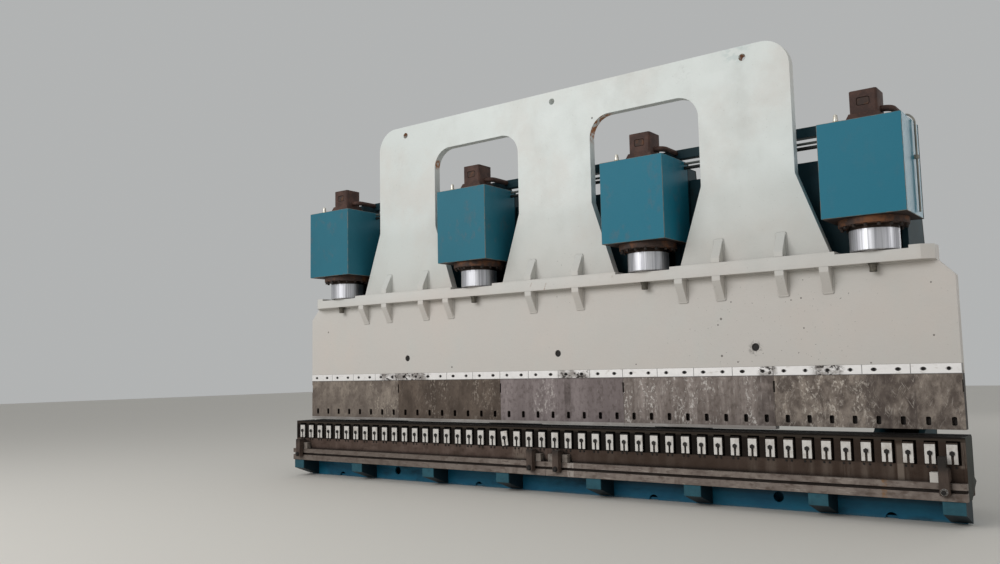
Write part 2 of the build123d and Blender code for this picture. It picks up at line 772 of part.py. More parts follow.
# Gussets under the shelf and over it, tapering to the plate on both faces of the ram
for side_name, level_z, rise, gusset_xs in (
    ("lower", shelf_bottom_z, -1, lower_gusset_xs),
    ("upper", shelf_top_z, 1, pier_gusset_xs),
):
    gusset_planes = [Plane.YZ.offset(side * x - gusset_width / 2) for side in (-1, 1) for x in gusset_xs]
    with BuildPart() as gussets:
        with BuildSketch(*gusset_planes):
            for side in (-1, 1):
                with BuildLine():
                    Polyline(
                        (side * ram_back_y, level_z),
                        (side * shelf_reach, level_z),
                        (side * shelf_reach, level_z + rise * gusset_stub),
                        (side * (ram_back_y + gusset_tip), level_z + rise * gusset_reach),
                        (side * ram_back_y, level_z + rise * gusset_reach),
                        close=True,
                    )
                make_face()
        extrude(amount=gusset_width)
    gussets.part.label = f"gussets_{side_name}"
    export_step(gussets.part, f"parts/gussets_{side_name}.step")

# Clamp bars: an L-shaped bar whose heel bears on the ram's lip and whose toe holds the holder's tang
bar_xs = [(number - (bar_count - 1) / 2) * bar_pitch for number in range(bar_count)]
screw_pitch = bar_pitch / screws_per_bar
screw_xs = [x + side * screw_pitch / 2 for x in bar_xs for side in (-1, 1)]
screw_z = ram_bottom_z + bar_height / 2
with BuildPart() as clamp_bars:
    with BuildSketch(*[Plane.YZ.offset(x - (bar_pitch - bar_gap) / 2) for x in bar_xs]):
        with BuildLine():
            Polyline(
                (bar_front_y, ram_bottom_z),
                (tang_front_y, ram_bottom_z),
                (tang_front_y, ram_bottom_z + tang_height + bar_gap),
                (lip_front_y, ram_bottom_z + tang_height + bar_gap),
                (lip_front_y, bar_top_z),
                (bar_front_y, bar_top_z),
                close=True,
            )
        make_face()
    extrude(amount=bar_pitch - bar_gap)
    with BuildSketch(Plane.XZ.offset(-bar_front_y)):
        with Locations(*[(x, screw_z) for x in screw_xs]):
            Circle(screw_head_radius + sitting_clearance)
    extrude(amount=-screw_recess, mode=Mode.SUBTRACT)
clamp_bars.part.label = "clamp_bars"
export_step(clamp_bars.part, "parts/clamp_bars.step")

# Socket screws in the clamp bars
with BuildPart() as clamp_bar_screws:
    with BuildSketch(Plane.XZ.offset(-bar_front_y - screw_recess)):
        with Locations(*[(x, screw_z) for x in screw_xs]):
            Circle(screw_head_radius)
    extrude(amount=screw_head_height)
    with BuildSketch(Plane.XZ.offset(-bar_front_y - screw_recess + screw_head_height)):
        with Locations(*[(x, screw_z) for x in screw_xs]):
            RegularPolygon(screw_socket / 2, 6, major_radius=False)
    extrude(amount=-screw_socket_depth, mode=Mode.SUBTRACT)
clamp_bar_screws.part.label = "clamp_bar_screws"
export_step(clamp_bar_screws.part, "parts/clamp_bar_screws.step")

# Tool holders: thick plates hung by their tangs, with a row of bolt slots and a notch at each joint
holder_xs = [(number - (holder_count - 1) / 2) * holder_length for number in range(holder_count)]
slot_pitch = holder_length / slots_per_holder
for number, centre_x in enumerate(holder_xs, start=1):
    with BuildPart() as holder:
        with BuildSketch(Plane.YZ.offset(centre_x - (holder_length - holder_gap) / 2)):
            with BuildLine():
                Polyline(
                    (ram_front_y, holder_bottom_z),
                    (ram_back_y, holder_bottom_z),
                    (ram_back_y, ram_bottom_z),
                    (lip_front_y, ram_bottom_z),
                    (lip_front_y, ram_bottom_z + tang_height),
                    (tang_front_y, ram_bottom_z + tang_height),
                    (tang_front_y, ram_bottom_z),
                    (ram_front_y, ram_bottom_z),
                    close=True,
                )
            make_face()
        extrude(amount=holder_length - holder_gap)
        with BuildSketch(Plane.XZ.offset(-ram_front_y)):
            with Locations((centre_x + slot_shift, slot_z)):
                with GridLocations(slot_pitch, slot_pitch, slots_per_holder, 1):
                    RectangleRounded(slot_width, slot_height, slot_corner)
        extrude(amount=-slot_depth, mode=Mode.SUBTRACT)
        with BuildSketch(Plane.XZ.offset(-ram_front_y)):
            with Locations((centre_x, notch_z)):
                with GridLocations(holder_length, holder_length, 2, 1):
                    Rectangle(notch_width, notch_height)
        extrude(amount=-notch_depth, mode=Mode.SUBTRACT)
    holder.part.label = f"tool_holder_{number}"
    export_step(holder.part, f"parts/tool_holder_{number}.step")

# Lip bars under all the holders but the last
with BuildPart() as lip_bars:
    with BuildSketch(Plane.XY.offset(holder_bottom_z)):
        with Locations(*[(x, -lip_bar_proud) for x in holder_xs[:lip_bar_count]]):
            Rectangle(holder_length - holder_gap, ram_thickness)
    extrude(amount=-lip_bar_height)
lip_bars.part.label = "lip_bars"
export_step(lip_bars.part, "parts/lip_bars.step")

# Thrust pads in the milled seats, drilled for the rod bolts
with BuildPart() as thrust_pads:
    with BuildSketch(Plane.XY.offset(seat_z)):
        with Locations(*[(axis_x, 0) for axis_x in cylinder_axes]):
            Circle(pad_radius)
        with Locations(*[(axis_x, side * rod_bolt_y) for axis_x in cylinder_axes for side in (-1, 1)]):
            Circle(rod_bolt_radius + sitting_clearance, mode=Mode.SUBTRACT)
    extrude(amount=pad_thickness)
thrust_pads.part.label = "thrust_pads"
export_step(thrust_pads.part, "parts/thrust_pads.step")

# Piston rods, each turned in one piece with its piston, grooved for a seal and drilled from below
piston_radius = bore_radius - running_clearance
for number, axis_x in enumerate(cylinder_axes, start=1):
    with BuildPart() as piston_rod:
        with BuildSketch(Plane((axis_x, 0, 0), x_dir=(1, 0, 0), z_dir=(0, -1, 0))):
            with BuildLine():
                Polyline(
                    (0, rod_bottom_z),
                    (rod_radius - rod_chamfer, rod_bottom_z),
                    (rod_radius, rod_bottom_z + rod_chamfer),
                    (rod_radius, piston_bottom_z),
                    (piston_radius, piston_bottom_z),
                    (piston_radius, piston_seal_z),
                    (piston_radius - seal_depth, piston_seal_z),
                    (piston_radius - seal_depth, piston_seal_z + seal_height),
                    (piston_radius, piston_seal_z + seal_height),
                    (piston_radius, piston_top_z),
                    (0, piston_top_z),
                    close=True,
                )
            make_face()
        revolve(axis=Axis((axis_x, 0, 0), (0, 0, 1)))
        with BuildSketch(Plane.XY.offset(rod_bottom_z)):
            with Locations((axis_x, -rod_bolt_y), (axis_x, rod_bolt_y)):
                Circle(rod_bolt_radius + sitting_clearance)
        extrude(amount=rod_bolt_grip, mode=Mode.SUBTRACT)
    piston_rod.part.label = f"piston_rod_{number}"
    export_step(piston_rod.part, f"parts/piston_rod_{number}.step")

# Piston seals
with BuildPart() as piston_seals:
    with BuildSketch(Plane.XY.offset(piston_seal_z)):
        with Locations(*[(axis_x, 0) for axis_x in cylinder_axes]):
            Circle(bore_radius - running_clearance)
            Circle(piston_radius - seal_depth + sitting_clearance, mode=Mode.SUBTRACT)
    extrude(amount=seal_height)
piston_seals.part.label = "piston_seals"
export_step(piston_seals.part, "parts/piston_seals.step")

# Rod bolts: up through the shelf and the pad into the rod, with a coned washer under each head
with BuildPart() as rod_bolts:
    for axis_x in cylinder_axes:
        for bolt_y in (-rod_bolt_y, rod_bolt_y):
            with BuildSketch(Plane((axis_x, bolt_y, 0), x_dir=(1, 0, 0), z_dir=(0, -1, 0))):
                with BuildLine():
                    Polyline(
                        (0, shelf_bottom_z - washer_height - rod_bolt_head),
                        (rod_bolt_head_radius, shelf_bottom_z - washer_height - rod_bolt_head),
                        (rod_bolt_head_radius, shelf_bottom_z - washer_height),
                        (washer_top_radius, shelf_bottom_z),
                        (rod_bolt_radius, shelf_bottom_z),
                        (rod_bolt_radius, rod_bottom_z + rod_bolt_grip),
                        (0, rod_bottom_z + rod_bolt_grip),
                        close=True,
                    )
                make_face()
            revolve(axis=Axis((axis_x, bolt_y, 0), (0, 0, 1)))
rod_bolts.part.label = "rod_bolts"
export_step(rod_bolts.part, "parts/rod_bolts.step")

# Cylinder housings: a square block bored from below
for number, axis_x in enumerate(cylinder_axes, start=1):
    with BuildPart() as housing:
        with BuildSketch(Plane.XY.offset(housing_bottom_z)):
            with Locations((axis_x, (housing_front_y + housing_back_y) / 2)):
                Rectangle(housing_width, housing_back_y - housing_front_y)
        extrude(amount=housing_height)
        with BuildSketch(Plane.XY.offset(housing_bottom_z)):
            with Locations((axis_x, 0)):
                Circle(bore_radius)
        extrude(amount=bore_top_z - housing_bottom_z, mode=Mode.SUBTRACT)
    housing.part.label = f"cylinder_housing_{number}"
    export_step(housing.part, f"parts/cylinder_housing_{number}.step")

# Gland rings: a flange under the housing, a spigot up its bore and a groove for the rod seal
gland_bore_radius = rod_radius + running_clearance
spigot_radius = bore_radius - sitting_clearance
with BuildPart() as gland_rings:
    for axis_x in cylinder_axes:
        with BuildSketch(Plane((axis_x, 0, 0), x_dir=(1, 0, 0), z_dir=(0, -1, 0))):
            with BuildLine():
                Polyline(
                    (gland_bore_radius, ring_bottom_z),
                    (ring_radius, ring_bottom_z),
                    (ring_radius, housing_bottom_z),
                    (spigot_radius, housing_bottom_z),
                    (spigot_radius, spigot_top_z),
                    (gland_bore_radius, spigot_top_z),
                    (gland_bore_radius, rod_seal_z + seal_height),
                    (gland_bore_radius + seal_depth, rod_seal_z + seal_height),
                    (gland_bore_radius + seal_depth, rod_seal_z),
                    (gland_bore_radius, rod_seal_z),
                    close=True,
                )
            make_face()
        revolve(axis=Axis((axis_x, 0, 0), (0, 0, 1)))
gland_rings.part.label = "gland_rings"
export_step(gland_rings.part, "parts/gland_rings.step")

# Rod seals in the gland rings
with BuildPart() as rod_seals:
    with BuildSketch(Plane.XY.offset(rod_seal_z)):
        with Locations(*[(axis_x, 0) for axis_x in cylinder_axes]):
            Circle(gland_bore_radius + seal_depth - sitting_clearance)
            Circle(gland_bore_radius, mode=Mode.SUBTRACT)
    extrude(amount=seal_height)
rod_seals.part.label = "rod_seals"
export_step(rod_seals.part, "parts/rod_seals.step")

# Hexagon bolts round each gland ring
with BuildPart() as ring_bolts:
    with BuildSketch(Plane.XY.offset(ring_bottom_z)):
        with Locations(*[(axis_x, 0) for axis_x in cylinder_axes]):
            with PolarLocations(ring_bolt_circle, ring_bolt_count):
                RegularPolygon(ring_bolt_flats / 2, 6, major_radius=False)
    extrude(amount=-ring_bolt_head)
ring_bolts.part.label = "ring_bolts"
export_step(ring_bolts.part, "parts/ring_bolts.step")

# Valve blocks: a flared foot and a square body with a port in its front face
with BuildPart() as valve_blocks:
    for axis_x in cylinder_axes:
        with BuildSketch(Plane.XY.offset(housing_top_z)):
            with Locations((axis_x, 0)):
                Rectangle(valve_base_width, valve_base_width)
        with BuildSketch(Plane.XY.offset(valve_neck_z)):
            with Locations((axis_x, 0)):
                Rectangle(valve_neck_width, valve_neck_width)
        loft()
        with BuildSketch(Plane.XY.offset(valve_neck_z)) as body_section:
            with Locations((axis_x, 0)):
                Rectangle(valve_body_width, valve_body_width)
            chamfer(body_section.vertices(), valve_edge)
        extrude(amount=valve_body_height)
    with BuildSketch(Plane.XZ.offset(valve_body_width / 2)):
        with Locations(*[(axis_x, port_z) for axis_x in cylinder_axes]):
            RectangleRounded(port_width, port_height, port_height / 4)
    extrude(amount=-port_depth, mode=Mode.SUBTRACT)
valve_blocks.part.label = "valve_blocks"
export_step(valve_blocks.part, "parts/valve_blocks.step")

# Arms from each valve block round to the header behind
with BuildPart() as valve_arms:
    for axis_x in cylinder_axes:
        side_x = axis_x + valve_body_width / 2
        with BuildLine() as path:
            FilletPolyline(
                (side_x, 0, arm_z),
                (side_x + arm_reach, 0, arm_z),
                (side_x + arm_reach, header_front_y, arm_z),
                radius=arm_bend_radius,
            )
        with BuildSketch(Plane(origin=path.line @ 0, z_dir=path.line % 0)):
            Circle(arm_radius)
        sweep()
valve_arms.part.label = "valve_arms"
export_step(valve_arms.part, "parts/valve_arms.step")

# Bleed fittings near the front left corner of each housing, each with an elbow into the housing
with BuildPart() as bleed_fittings:
    for axis_x in cylinder_axes:
        with BuildSketch(Plane.XY.offset(housing_top_z)):
            with Locations((axis_x + fitting_x, fitting_y)):
                RegularPolygon(fitting_flats / 2, 6, major_radius=False, rotation=30)
        extrude(amount=fitting_nut_height)
        with BuildSketch(Plane.XY.offset(housing_top_z + fitting_nut_height)):
            with Locations((axis_x + fitting_x, fitting_y)):
                Circle(fitting_cone_radius)
        with BuildSketch(Plane.XY.offset(housing_top_z + fitting_nut_height + fitting_cone_height)):
            with Locations((axis_x + fitting_x, fitting_y)):
                Circle(fitting_tip_radius)
        loft()
bleed_fittings.part.label = "bleed_fittings"
export_step(bleed_fittings.part, "parts/bleed_fittings.step")

with BuildPart() as fitting_elbows:
    for axis_x in cylinder_axes:
        elbow_x = axis_x + fitting_x + fitting_flats / 2
        elbow_z = housing_top_z + elbow_rise
        with BuildLine() as path:
            FilletPolyline(
                (elbow_x, fitting_y, elbow_z),
                (elbow_x + elbow_reach, fitting_y, elbow_z),
                (elbow_x + elbow_reach, fitting_y, housing_top_z),
                radius=elbow_bend_radius,
            )
        with BuildSketch(Plane(origin=path.line @ 0, z_dir=path.line % 0)):
            Circle(elbow_radius)
        sweep()
fitting_elbows.part.label = "fitting_elbows"
export_step(fitting_elbows.part, "parts/fitting_elbows.step")

# Header beam behind the housings, on saddles that stand on the C-frame heads
with BuildPart() as header_beam:
    with BuildSketch(Plane.YZ.offset(-header_half_length)):
        with Locations((header_front_y + header_width / 2, header_bottom_z + header_height / 2)):
            Rectangle(header_width, header_height)
    extrude(amount=2 * header_half_length)
header_beam.part.label = "header_beam"
export_step(header_beam.part, "parts/header_beam.step")

with BuildPart() as header_saddles:
    with BuildSketch(Plane.XY.offset(frame_head_top_z)):
        with Locations(*[(axis_x, header_front_y + header_width / 2) for axis_x in cylinder_axes]):
            Rectangle(2 * frame_half_width, header_width)
    extrude(amount=saddle_height)
header_saddles.part.label = "header_saddles"
export_step(header_saddles.part, "parts/header_saddles.step")

# Oil pipes from housing to housing, one thin above one thick
with BuildPart() as oil_pipes:
    for left_axis in cylinder_axes[:-1]:
        with BuildSketch(Plane.YZ.offset(left_axis + housing_width / 2)):
            with Locations((oil_pipe_y, upper_pipe_z)):
                Circle(upper_pipe_radius)
            with Locations((oil_pipe_y, lower_pipe_z)):
                Circle(lower_pipe_radius)
        extrude(amount=cylinder_pitch - housing_width)
oil_pipes.part.label = "oil_pipes"
export_step(oil_pipes.part, "parts/oil_pipes.step")

# Drain pipe over the edge of the last housing and down its side, with the clip that holds it
drain_x = outer_axis_x + housing_width / 2 + drain_clear_x
drain_start_x = outer_axis_x + housing_width / 2 - drain_inset_x
with BuildPart() as drain_pipe:
    with BuildLine() as path:
        FilletPolyline(
            (drain_start_x, drain_y, housing_top_z),
            (drain_start_x, drain_y, housing_top_z + drain_start_rise),
            (drain_x, drain_y, housing_top_z + drain_radius),
            (drain_x, drain_y, drain_end_z),
            radius=(drain_bend_radius / 2, drain_bend_radius),
        )
    with BuildSketch(Plane(origin=path.line @ 0, z_dir=path.line % 0)):
        Circle(drain_radius)
    sweep()
drain_pipe.part.label = "drain_pipe"
export_step(drain_pipe.part, "parts/drain_pipe.step")

with BuildPart() as pipe_clip:
    with BuildSketch(Plane.XY.offset(clip_z - clip_height / 2)):
        with Locations((outer_axis_x + housing_width / 2 + drain_clear_x / 2, drain_y)):
            Rectangle(drain_clear_x, clip_width)
        with Locations((drain_x, drain_y)):
            Circle(drain_radius + drain_clear_x / 2)
            Circle(drain_radius + sitting_clearance, mode=Mode.SUBTRACT)
        with Locations((outer_axis_x + housing_width / 2 - drain_clear_x, drain_y)):
            Rectangle(2 * drain_clear_x, 2 * clip_width, mode=Mode.SUBTRACT)
    extrude(amount=clip_height)
pipe_clip.part.label = "pipe_clip"
export_step(pipe_clip.part, "parts/pipe_clip.step")
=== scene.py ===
import json
import math

import bmesh
import bpy
from mathutils import Matrix, Vector

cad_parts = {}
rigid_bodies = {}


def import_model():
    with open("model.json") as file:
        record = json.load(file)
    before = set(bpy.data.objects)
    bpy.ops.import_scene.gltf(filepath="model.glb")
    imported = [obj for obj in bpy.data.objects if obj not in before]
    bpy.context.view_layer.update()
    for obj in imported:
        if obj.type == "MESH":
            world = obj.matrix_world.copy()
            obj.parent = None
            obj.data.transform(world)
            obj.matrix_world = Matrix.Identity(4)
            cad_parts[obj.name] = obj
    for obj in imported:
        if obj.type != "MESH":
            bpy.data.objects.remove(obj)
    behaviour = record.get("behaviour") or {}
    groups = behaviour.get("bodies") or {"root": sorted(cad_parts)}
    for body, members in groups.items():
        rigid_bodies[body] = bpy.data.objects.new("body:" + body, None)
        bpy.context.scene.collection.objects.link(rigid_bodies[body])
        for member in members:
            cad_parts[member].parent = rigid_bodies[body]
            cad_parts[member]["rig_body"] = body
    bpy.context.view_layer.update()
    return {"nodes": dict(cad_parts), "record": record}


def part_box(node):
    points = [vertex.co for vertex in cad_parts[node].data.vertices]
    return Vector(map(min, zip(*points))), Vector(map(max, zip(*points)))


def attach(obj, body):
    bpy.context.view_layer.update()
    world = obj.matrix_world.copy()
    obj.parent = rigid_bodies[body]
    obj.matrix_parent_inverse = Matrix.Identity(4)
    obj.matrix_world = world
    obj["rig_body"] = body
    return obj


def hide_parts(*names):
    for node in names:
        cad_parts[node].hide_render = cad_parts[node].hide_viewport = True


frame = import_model()
nodes = frame["nodes"]
record = frame["record"]

# Camera: a wide lens at standing eye level, in front of the right half of the press.
# It looks to the left along the press and a little up, and leans by about a degree.
eye = Vector((6.799, -10.422, 1.6475))
yaw = math.radians(-36.86)
pitch = math.radians(5.66)
roll = math.radians(-1.105)
ahead = Vector((math.sin(yaw) * math.cos(pitch), math.cos(yaw) * math.cos(pitch), math.sin(pitch)))
level_right = Vector((math.cos(yaw), -math.sin(yaw), 0))
level_up = level_right.cross(ahead)
rightward = level_right * math.cos(roll) + level_up * math.sin(roll)
upward = level_up * math.cos(roll) - level_right * math.sin(roll)
lens = bpy.data.cameras.new("camera")
lens.sensor_width = 36
lens.lens = 32.34
lens.clip_end = 200
camera = bpy.data.objects.new("camera", lens)
camera.matrix_world = Matrix.Translation(eye) @ Matrix((rightward, upward, -ahead)).transposed().to_4x4()
bpy.context.scene.collection.objects.link(camera)
bpy.context.scene.camera = camera
bpy.context.scene.view_settings.view_transform = "Standard"

# Floor and studio: a plain pale floor, a pale surround, and broad soft lights.
# The main light comes from the front left, a weak one from the right, and a high one from behind the
# right end, which gives its glint to the last cylinder housing.
floor_reach = 60


def linear(colour):
    """An sRGB hex colour, such as "#2f7387", as the linear values that a shader takes."""
    shares = [int(colour[place:place + 2], 16) / 255 for place in (1, 3, 5)]
    return [(s + 0.055) ** 2.4 / 1.055 ** 2.4 if s > 0.04045 else s / 12.92 for s in shares] + [1.0]


def add(tree, kind, inputs=None, **settings):
    """Adds a node with its settings. Each input is given a value, or linked where the value is a socket."""
    node = tree.nodes.new(kind)
    for name, value in settings.items():
        setattr(node, name, value)
    for name, value in (inputs or {}).items():
        if isinstance(value, bpy.types.NodeSocket):
            tree.links.new(value, node.inputs[name])
        else:
            node.inputs[name].default_value = value
    return node


def new_tree(name):
    """A new material with its empty node tree."""
    material = bpy.data.materials.new(name)
    material.use_nodes = True
    material.node_tree.nodes.clear()
    return material, material.node_tree


def close_tree(tree, **inputs):
    """Ends a material with its surface shader, whose sockets are named with underscores."""
    named = {name.replace("_", " "): value for name, value in inputs.items()}
    shader = add(tree, "ShaderNodeBsdfPrincipled", named)
    add(tree, "ShaderNodeOutputMaterial", {"Surface": shader.outputs["BSDF"]})


floor_shape = bmesh.new()
bmesh.ops.create_grid(floor_shape, x_segments=1, y_segments=1, size=floor_reach)
floor_mesh = bpy.data.meshes.new("floor")
floor_shape.to_mesh(floor_mesh)
floor_shape.free()
floor = bpy.data.objects.new("floor", floor_mesh)
bpy.context.scene.collection.objects.link(floor)
# Trowelled concrete, sealed: even, pale and without gloss.
smooth_concrete, tree = new_tree("smooth_concrete")
close_tree(tree, Base_Color=linear("#d6d2cb"), Roughness=0.75)
floor_mesh.materials.append(smooth_concrete)

surround = bpy.data.worlds.new("surround")
surround.use_nodes = True
surround.node_tree.nodes["Background"].inputs["Color"].default_value = linear("#e4e6e6")
surround.node_tree.nodes["Background"].inputs["Strength"].default_value = 0.57
bpy.context.scene.world = surround
for name, seat, aim, width, height, power in (
    ("main_light", (-5.0, -15.0, 9.5), (0.0, 0.0, 2.5), 16.0, 7.0, 1450.0),
    ("side_light", (16.0, -1.0, 5.0), (4.0, 0.0, 3.0), 8.0, 5.0, 160.0),
    ("high_light", (8.3, 21.0, 8.2), (4.6, 0.0, 3.8), 3.6, 8.0, 170.0),
):
    lamp = bpy.data.lights.new(name, "AREA")
    lamp.shape = "RECTANGLE"
    lamp.size = width
    lamp.size_y = height
    lamp.energy = power
    lamp_object = bpy.data.objects.new(name, lamp)
    lamp_object.location = seat
    lamp_object.rotation_euler = (Vector(aim) - Vector(seat)).to_track_quat("-Z", "Y").to_euler()
    lamp_object.visible_camera = False
    bpy.context.scene.collection.objects.link(lamp_object)

# Base: a welded box beam that carries the bed, with a row of sloping brackets under the overhang.
# Mild steel plate under semi-gloss enamel, sprayed on: deep blue teal on the beam, and a greyer teal on
# the brackets. It stands on the floor, and the bed is bolted down on it.
slot_of = {row["node"]: row["material_slot"] for row in record["subparts"]}


def patches(tree, size, low, high, stretch=(1, 1, 1), shift=0.0, detail=5, least=0.0, most=1.0):
    """Cloudy patches of about that size in metres: least where the cloud is under low, most over high."""
    place = add(tree, "ShaderNodeTexCoord").outputs["Object"]
    laid = add(tree, "ShaderNodeMapping",
               {"Vector": place, "Location": (shift, shift, shift), "Scale": stretch})
    cloud = add(tree, "ShaderNodeTexNoise",
                {"Vector": laid.outputs["Vector"], "Scale": 1 / size, "Detail": detail, "Roughness": 0.6})
    mask = add(tree, "ShaderNodeMapRange", {"Value": cloud.outputs["Fac"], "From Min": low, "From Max": high,
                                            "To Min": least, "To Max": most},
               interpolation_type="SMOOTHSTEP")
    return mask.outputs["Result"]


def band(tree, axis, start, end, least=0.0, most=1.0):
    """A smooth change from least at start to most at end, in metres along the axis X, Y or Z."""
    place = add(tree, "ShaderNodeTexCoord").outputs["Object"]
    parts = add(tree, "ShaderNodeSeparateXYZ", {"Vector": place})
    mask = add(tree, "ShaderNodeMapRange", {"Value": parts.outputs[axis], "From Min": start, "From Max": end,
                                            "To Min": least, "To Max": most},
               interpolation_type="SMOOTHSTEP")
    return mask.outputs["Result"]


def where(tree, mask, *others):
    """What a mask has in common with other masks, or the mask weakened by a number."""
    for other in others:
        mask = add(tree, "ShaderNodeMath", {0: mask, 1: other}, operation="MULTIPLY").outputs["Value"]
    return mask


def coats(tree, ground, *layers):
    """A base colour: a ground colour under layers, each a mask, its colour and, if thin, its strength."""
    tone = linear(ground)
    for mask, colour, *strength in layers:
        covered = where(tree, mask, *strength)
        tone = add(tree, "ShaderNodeMix", {0: covered, 6: tone, 7: linear(colour)},
                   data_type="RGBA").outputs[2]
    return tone


def grain(tree, size, height, stretch=(1, 1, 1), shift=0.0):
    """The bumped normal of a surface whose grain has about that size and height in metres."""
    swell = patches(tree, size, 0.3, 0.7, stretch, shift)
    return add(tree, "ShaderNodeBump", {"Height": swell, "Distance": height}).outputs["Normal"]


def show(shape, name, body, slot, *materials, crease=22):
    """Turns a finished bmesh into a piece that rides on a body. Edges of under crease degrees look round."""
    mesh = bpy.data.meshes.new(name)
    shape.to_mesh(mesh)
    shape.free()
    for material in materials:
        mesh.materials.append(material)
    mesh.polygons.foreach_set("use_smooth", [True] * len(mesh.polygons))
    mesh.set_sharp_from_angle(angle=math.radians(crease))
    piece = bpy.data.objects.new(name, mesh)
    bpy.context.scene.collection.objects.link(piece)
    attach(piece, body)
    return piece


def eased(name, width, paint, edge=None):
    """A copy of a CAD node whose sharp edges are broken by that width in metres. It stands for the node."""
    same_place = 2e-5
    flat = math.radians(0.5)
    least_turn = math.radians(32)
    shape = bmesh.new()
    shape.from_mesh(nodes[name].data)
    bmesh.ops.remove_doubles(shape, verts=shape.verts, dist=same_place)
    bmesh.ops.dissolve_limit(shape, angle_limit=flat, verts=shape.verts, edges=shape.edges)
    sharp = [rim for rim in shape.edges if len(rim.link_faces) == 2 and rim.calc_face_angle() > least_turn]
    for face in shape.faces:
        face.material_index = 0
    broken = bmesh.ops.bevel(shape, geom=sharp, offset=width, affect="EDGES", segments=1, profile=0.5,
                             material=-1, clamp_overlap=True)
    if edge is not None:
        for face in broken["faces"]:
            face.material_index = 1
    finishes = [paint] if edge is None else [paint, edge]
    piece = show(shape, name + "_finished", nodes[name]["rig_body"], slot_of[name], *finishes)
    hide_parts(name)
    return piece


# Enamel on the beam: saturated, with grime in cloudy patches, a line of dust along the floor, and a
# painted shadow of the rails along its upper edge, fading out to the left.
base_enamel, tree = new_tree("deep_teal_enamel")
rails_foot_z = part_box("front_rails")[0].z
grime = patches(tree, 0.25, 0.5, 0.8, stretch=(0.4, 1, 1), shift=2)
dust = where(tree, patches(tree, 0.3, 0.3, 0.7), band(tree, "Z", 0.035, 0.0))
# Painted shadow of the rails: a dark band along the beam's upper edge.
rail_shadow_band = where(tree, band(tree, "Z", rails_foot_z - 0.12, rails_foot_z - 0.06), band(tree, "X", -3.0, 0.5))
tone = coats(tree, "#0a5776", (patches(tree, 0.9, 0.3, 0.7, shift=3), "#116985"), (grime, "#113444"),
             (rail_shadow_band, "#131a1c", 0.6), (dust, "#5f6a6a", 0.5))
dulled = add(tree, "ShaderNodeMapRange", {"Value": grime, "To Min": 0.5, "To Max": 0.75})
close_tree(tree, Base_Color=tone, Roughness=dulled.outputs["Result"], Specular_IOR_Level=0.3,
           Normal=grain(tree, 0.03, 0.0006))
# Enamel on the brackets: a coat of its own, greyer, with painted shade on the faces behind the front edge.
bracket_enamel, tree = new_tree("grey_teal_enamel")
bracket_front_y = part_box("base_brackets")[0].y
tone = coats(tree, "#1f4c59", (patches(tree, 0.12, 0.35, 0.7), "#275865"),
             (patches(tree, 0.05, 0.6, 0.8, shift=4), "#1a343c"),
             (band(tree, "Y", bracket_front_y + 0.010, bracket_front_y + 0.017), "#0b222b"))
close_tree(tree, Base_Color=tone, Roughness=0.55, Specular_IOR_Level=0.3,
           Normal=grain(tree, 0.03, 0.0006))
eased("base_beam", 0.003, base_enamel)
eased("base_brackets", 0.003, bracket_enamel)

# Bed: two heavy forged halves end to end, with a row of clamp pockets in front and a die groove on top.
# Milled steel, bolted down on the base and left bare.
clamp_count = 48
clamp_pitch = (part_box("bed_right")[1].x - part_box("bed_left")[0].x) / clamp_count
plates_low, plates_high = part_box("clamp_plates")
clamps_middle_x = (plates_low.x + plates_high.x) / 2
bed_front_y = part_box("bed_right")[0].y
bed_top_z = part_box("bed_right")[1].z
clean_from_x = 2.2
clean_to_x = 4.3


def strip(tree, axis, start, end, blur):
    """A mask of the stretch from start to end along an axis, its ends blurred by that length in metres."""
    return where(tree, band(tree, axis, start - blur, start), band(tree, axis, end + blur, end))


def spot(tree, centre, reach):
    """A round mask, 1 at that centre and 0 at that reach in metres from it."""
    place = add(tree, "ShaderNodeTexCoord").outputs["Object"]
    gap = add(tree, "ShaderNodeVectorMath", {0: place, 1: centre}, operation="DISTANCE").outputs["Value"]
    mask = add(tree, "ShaderNodeMapRange", {"Value": gap, "From Min": reach, "From Max": reach / 2},
               interpolation_type="SMOOTHSTEP")
    return mask.outputs["Result"]


def either(tree, *masks):
    """The larger of several masks, point by point."""
    largest = masks[0]
    for mask in masks[1:]:
        largest = add(tree, "ShaderNodeMath", {0: largest, 1: mask}, operation="MAXIMUM").outputs["Value"]
    return largest


def occlusion_shade(tree, reach):
    """A mask of painted shade in corners and recesses, within that reach in metres of another surface."""
    openness = add(tree, "ShaderNodeAmbientOcclusion", {"Distance": reach}, samples=6).outputs["AO"]
    return add(tree, "ShaderNodeMapRange", {"Value": openness, "From Min": 0.92, "From Max": 0.5},
               interpolation_type="SMOOTHSTEP").outputs["Result"]


def from_nearest(tree, first, pitch):
    """The distance along X to the nearest of a row of points, the first at X = first, pitch metres apart."""
    place = add(tree, "ShaderNodeTexCoord").outputs["Object"]
    along = add(tree, "ShaderNodeSeparateXYZ", {"Vector": place}).outputs["X"]
    from_gap = add(tree, "ShaderNodeMath", {0: along, 1: first - pitch / 2}, operation="SUBTRACT")
    from_middle = add(tree, "ShaderNodeMath", {0: from_gap.outputs["Value"], 1: pitch / 2},
                      operation="PINGPONG")
    away = add(tree, "ShaderNodeMath", {0: pitch / 2, 1: from_middle.outputs["Value"]}, operation="SUBTRACT")
    return away.outputs["Value"]
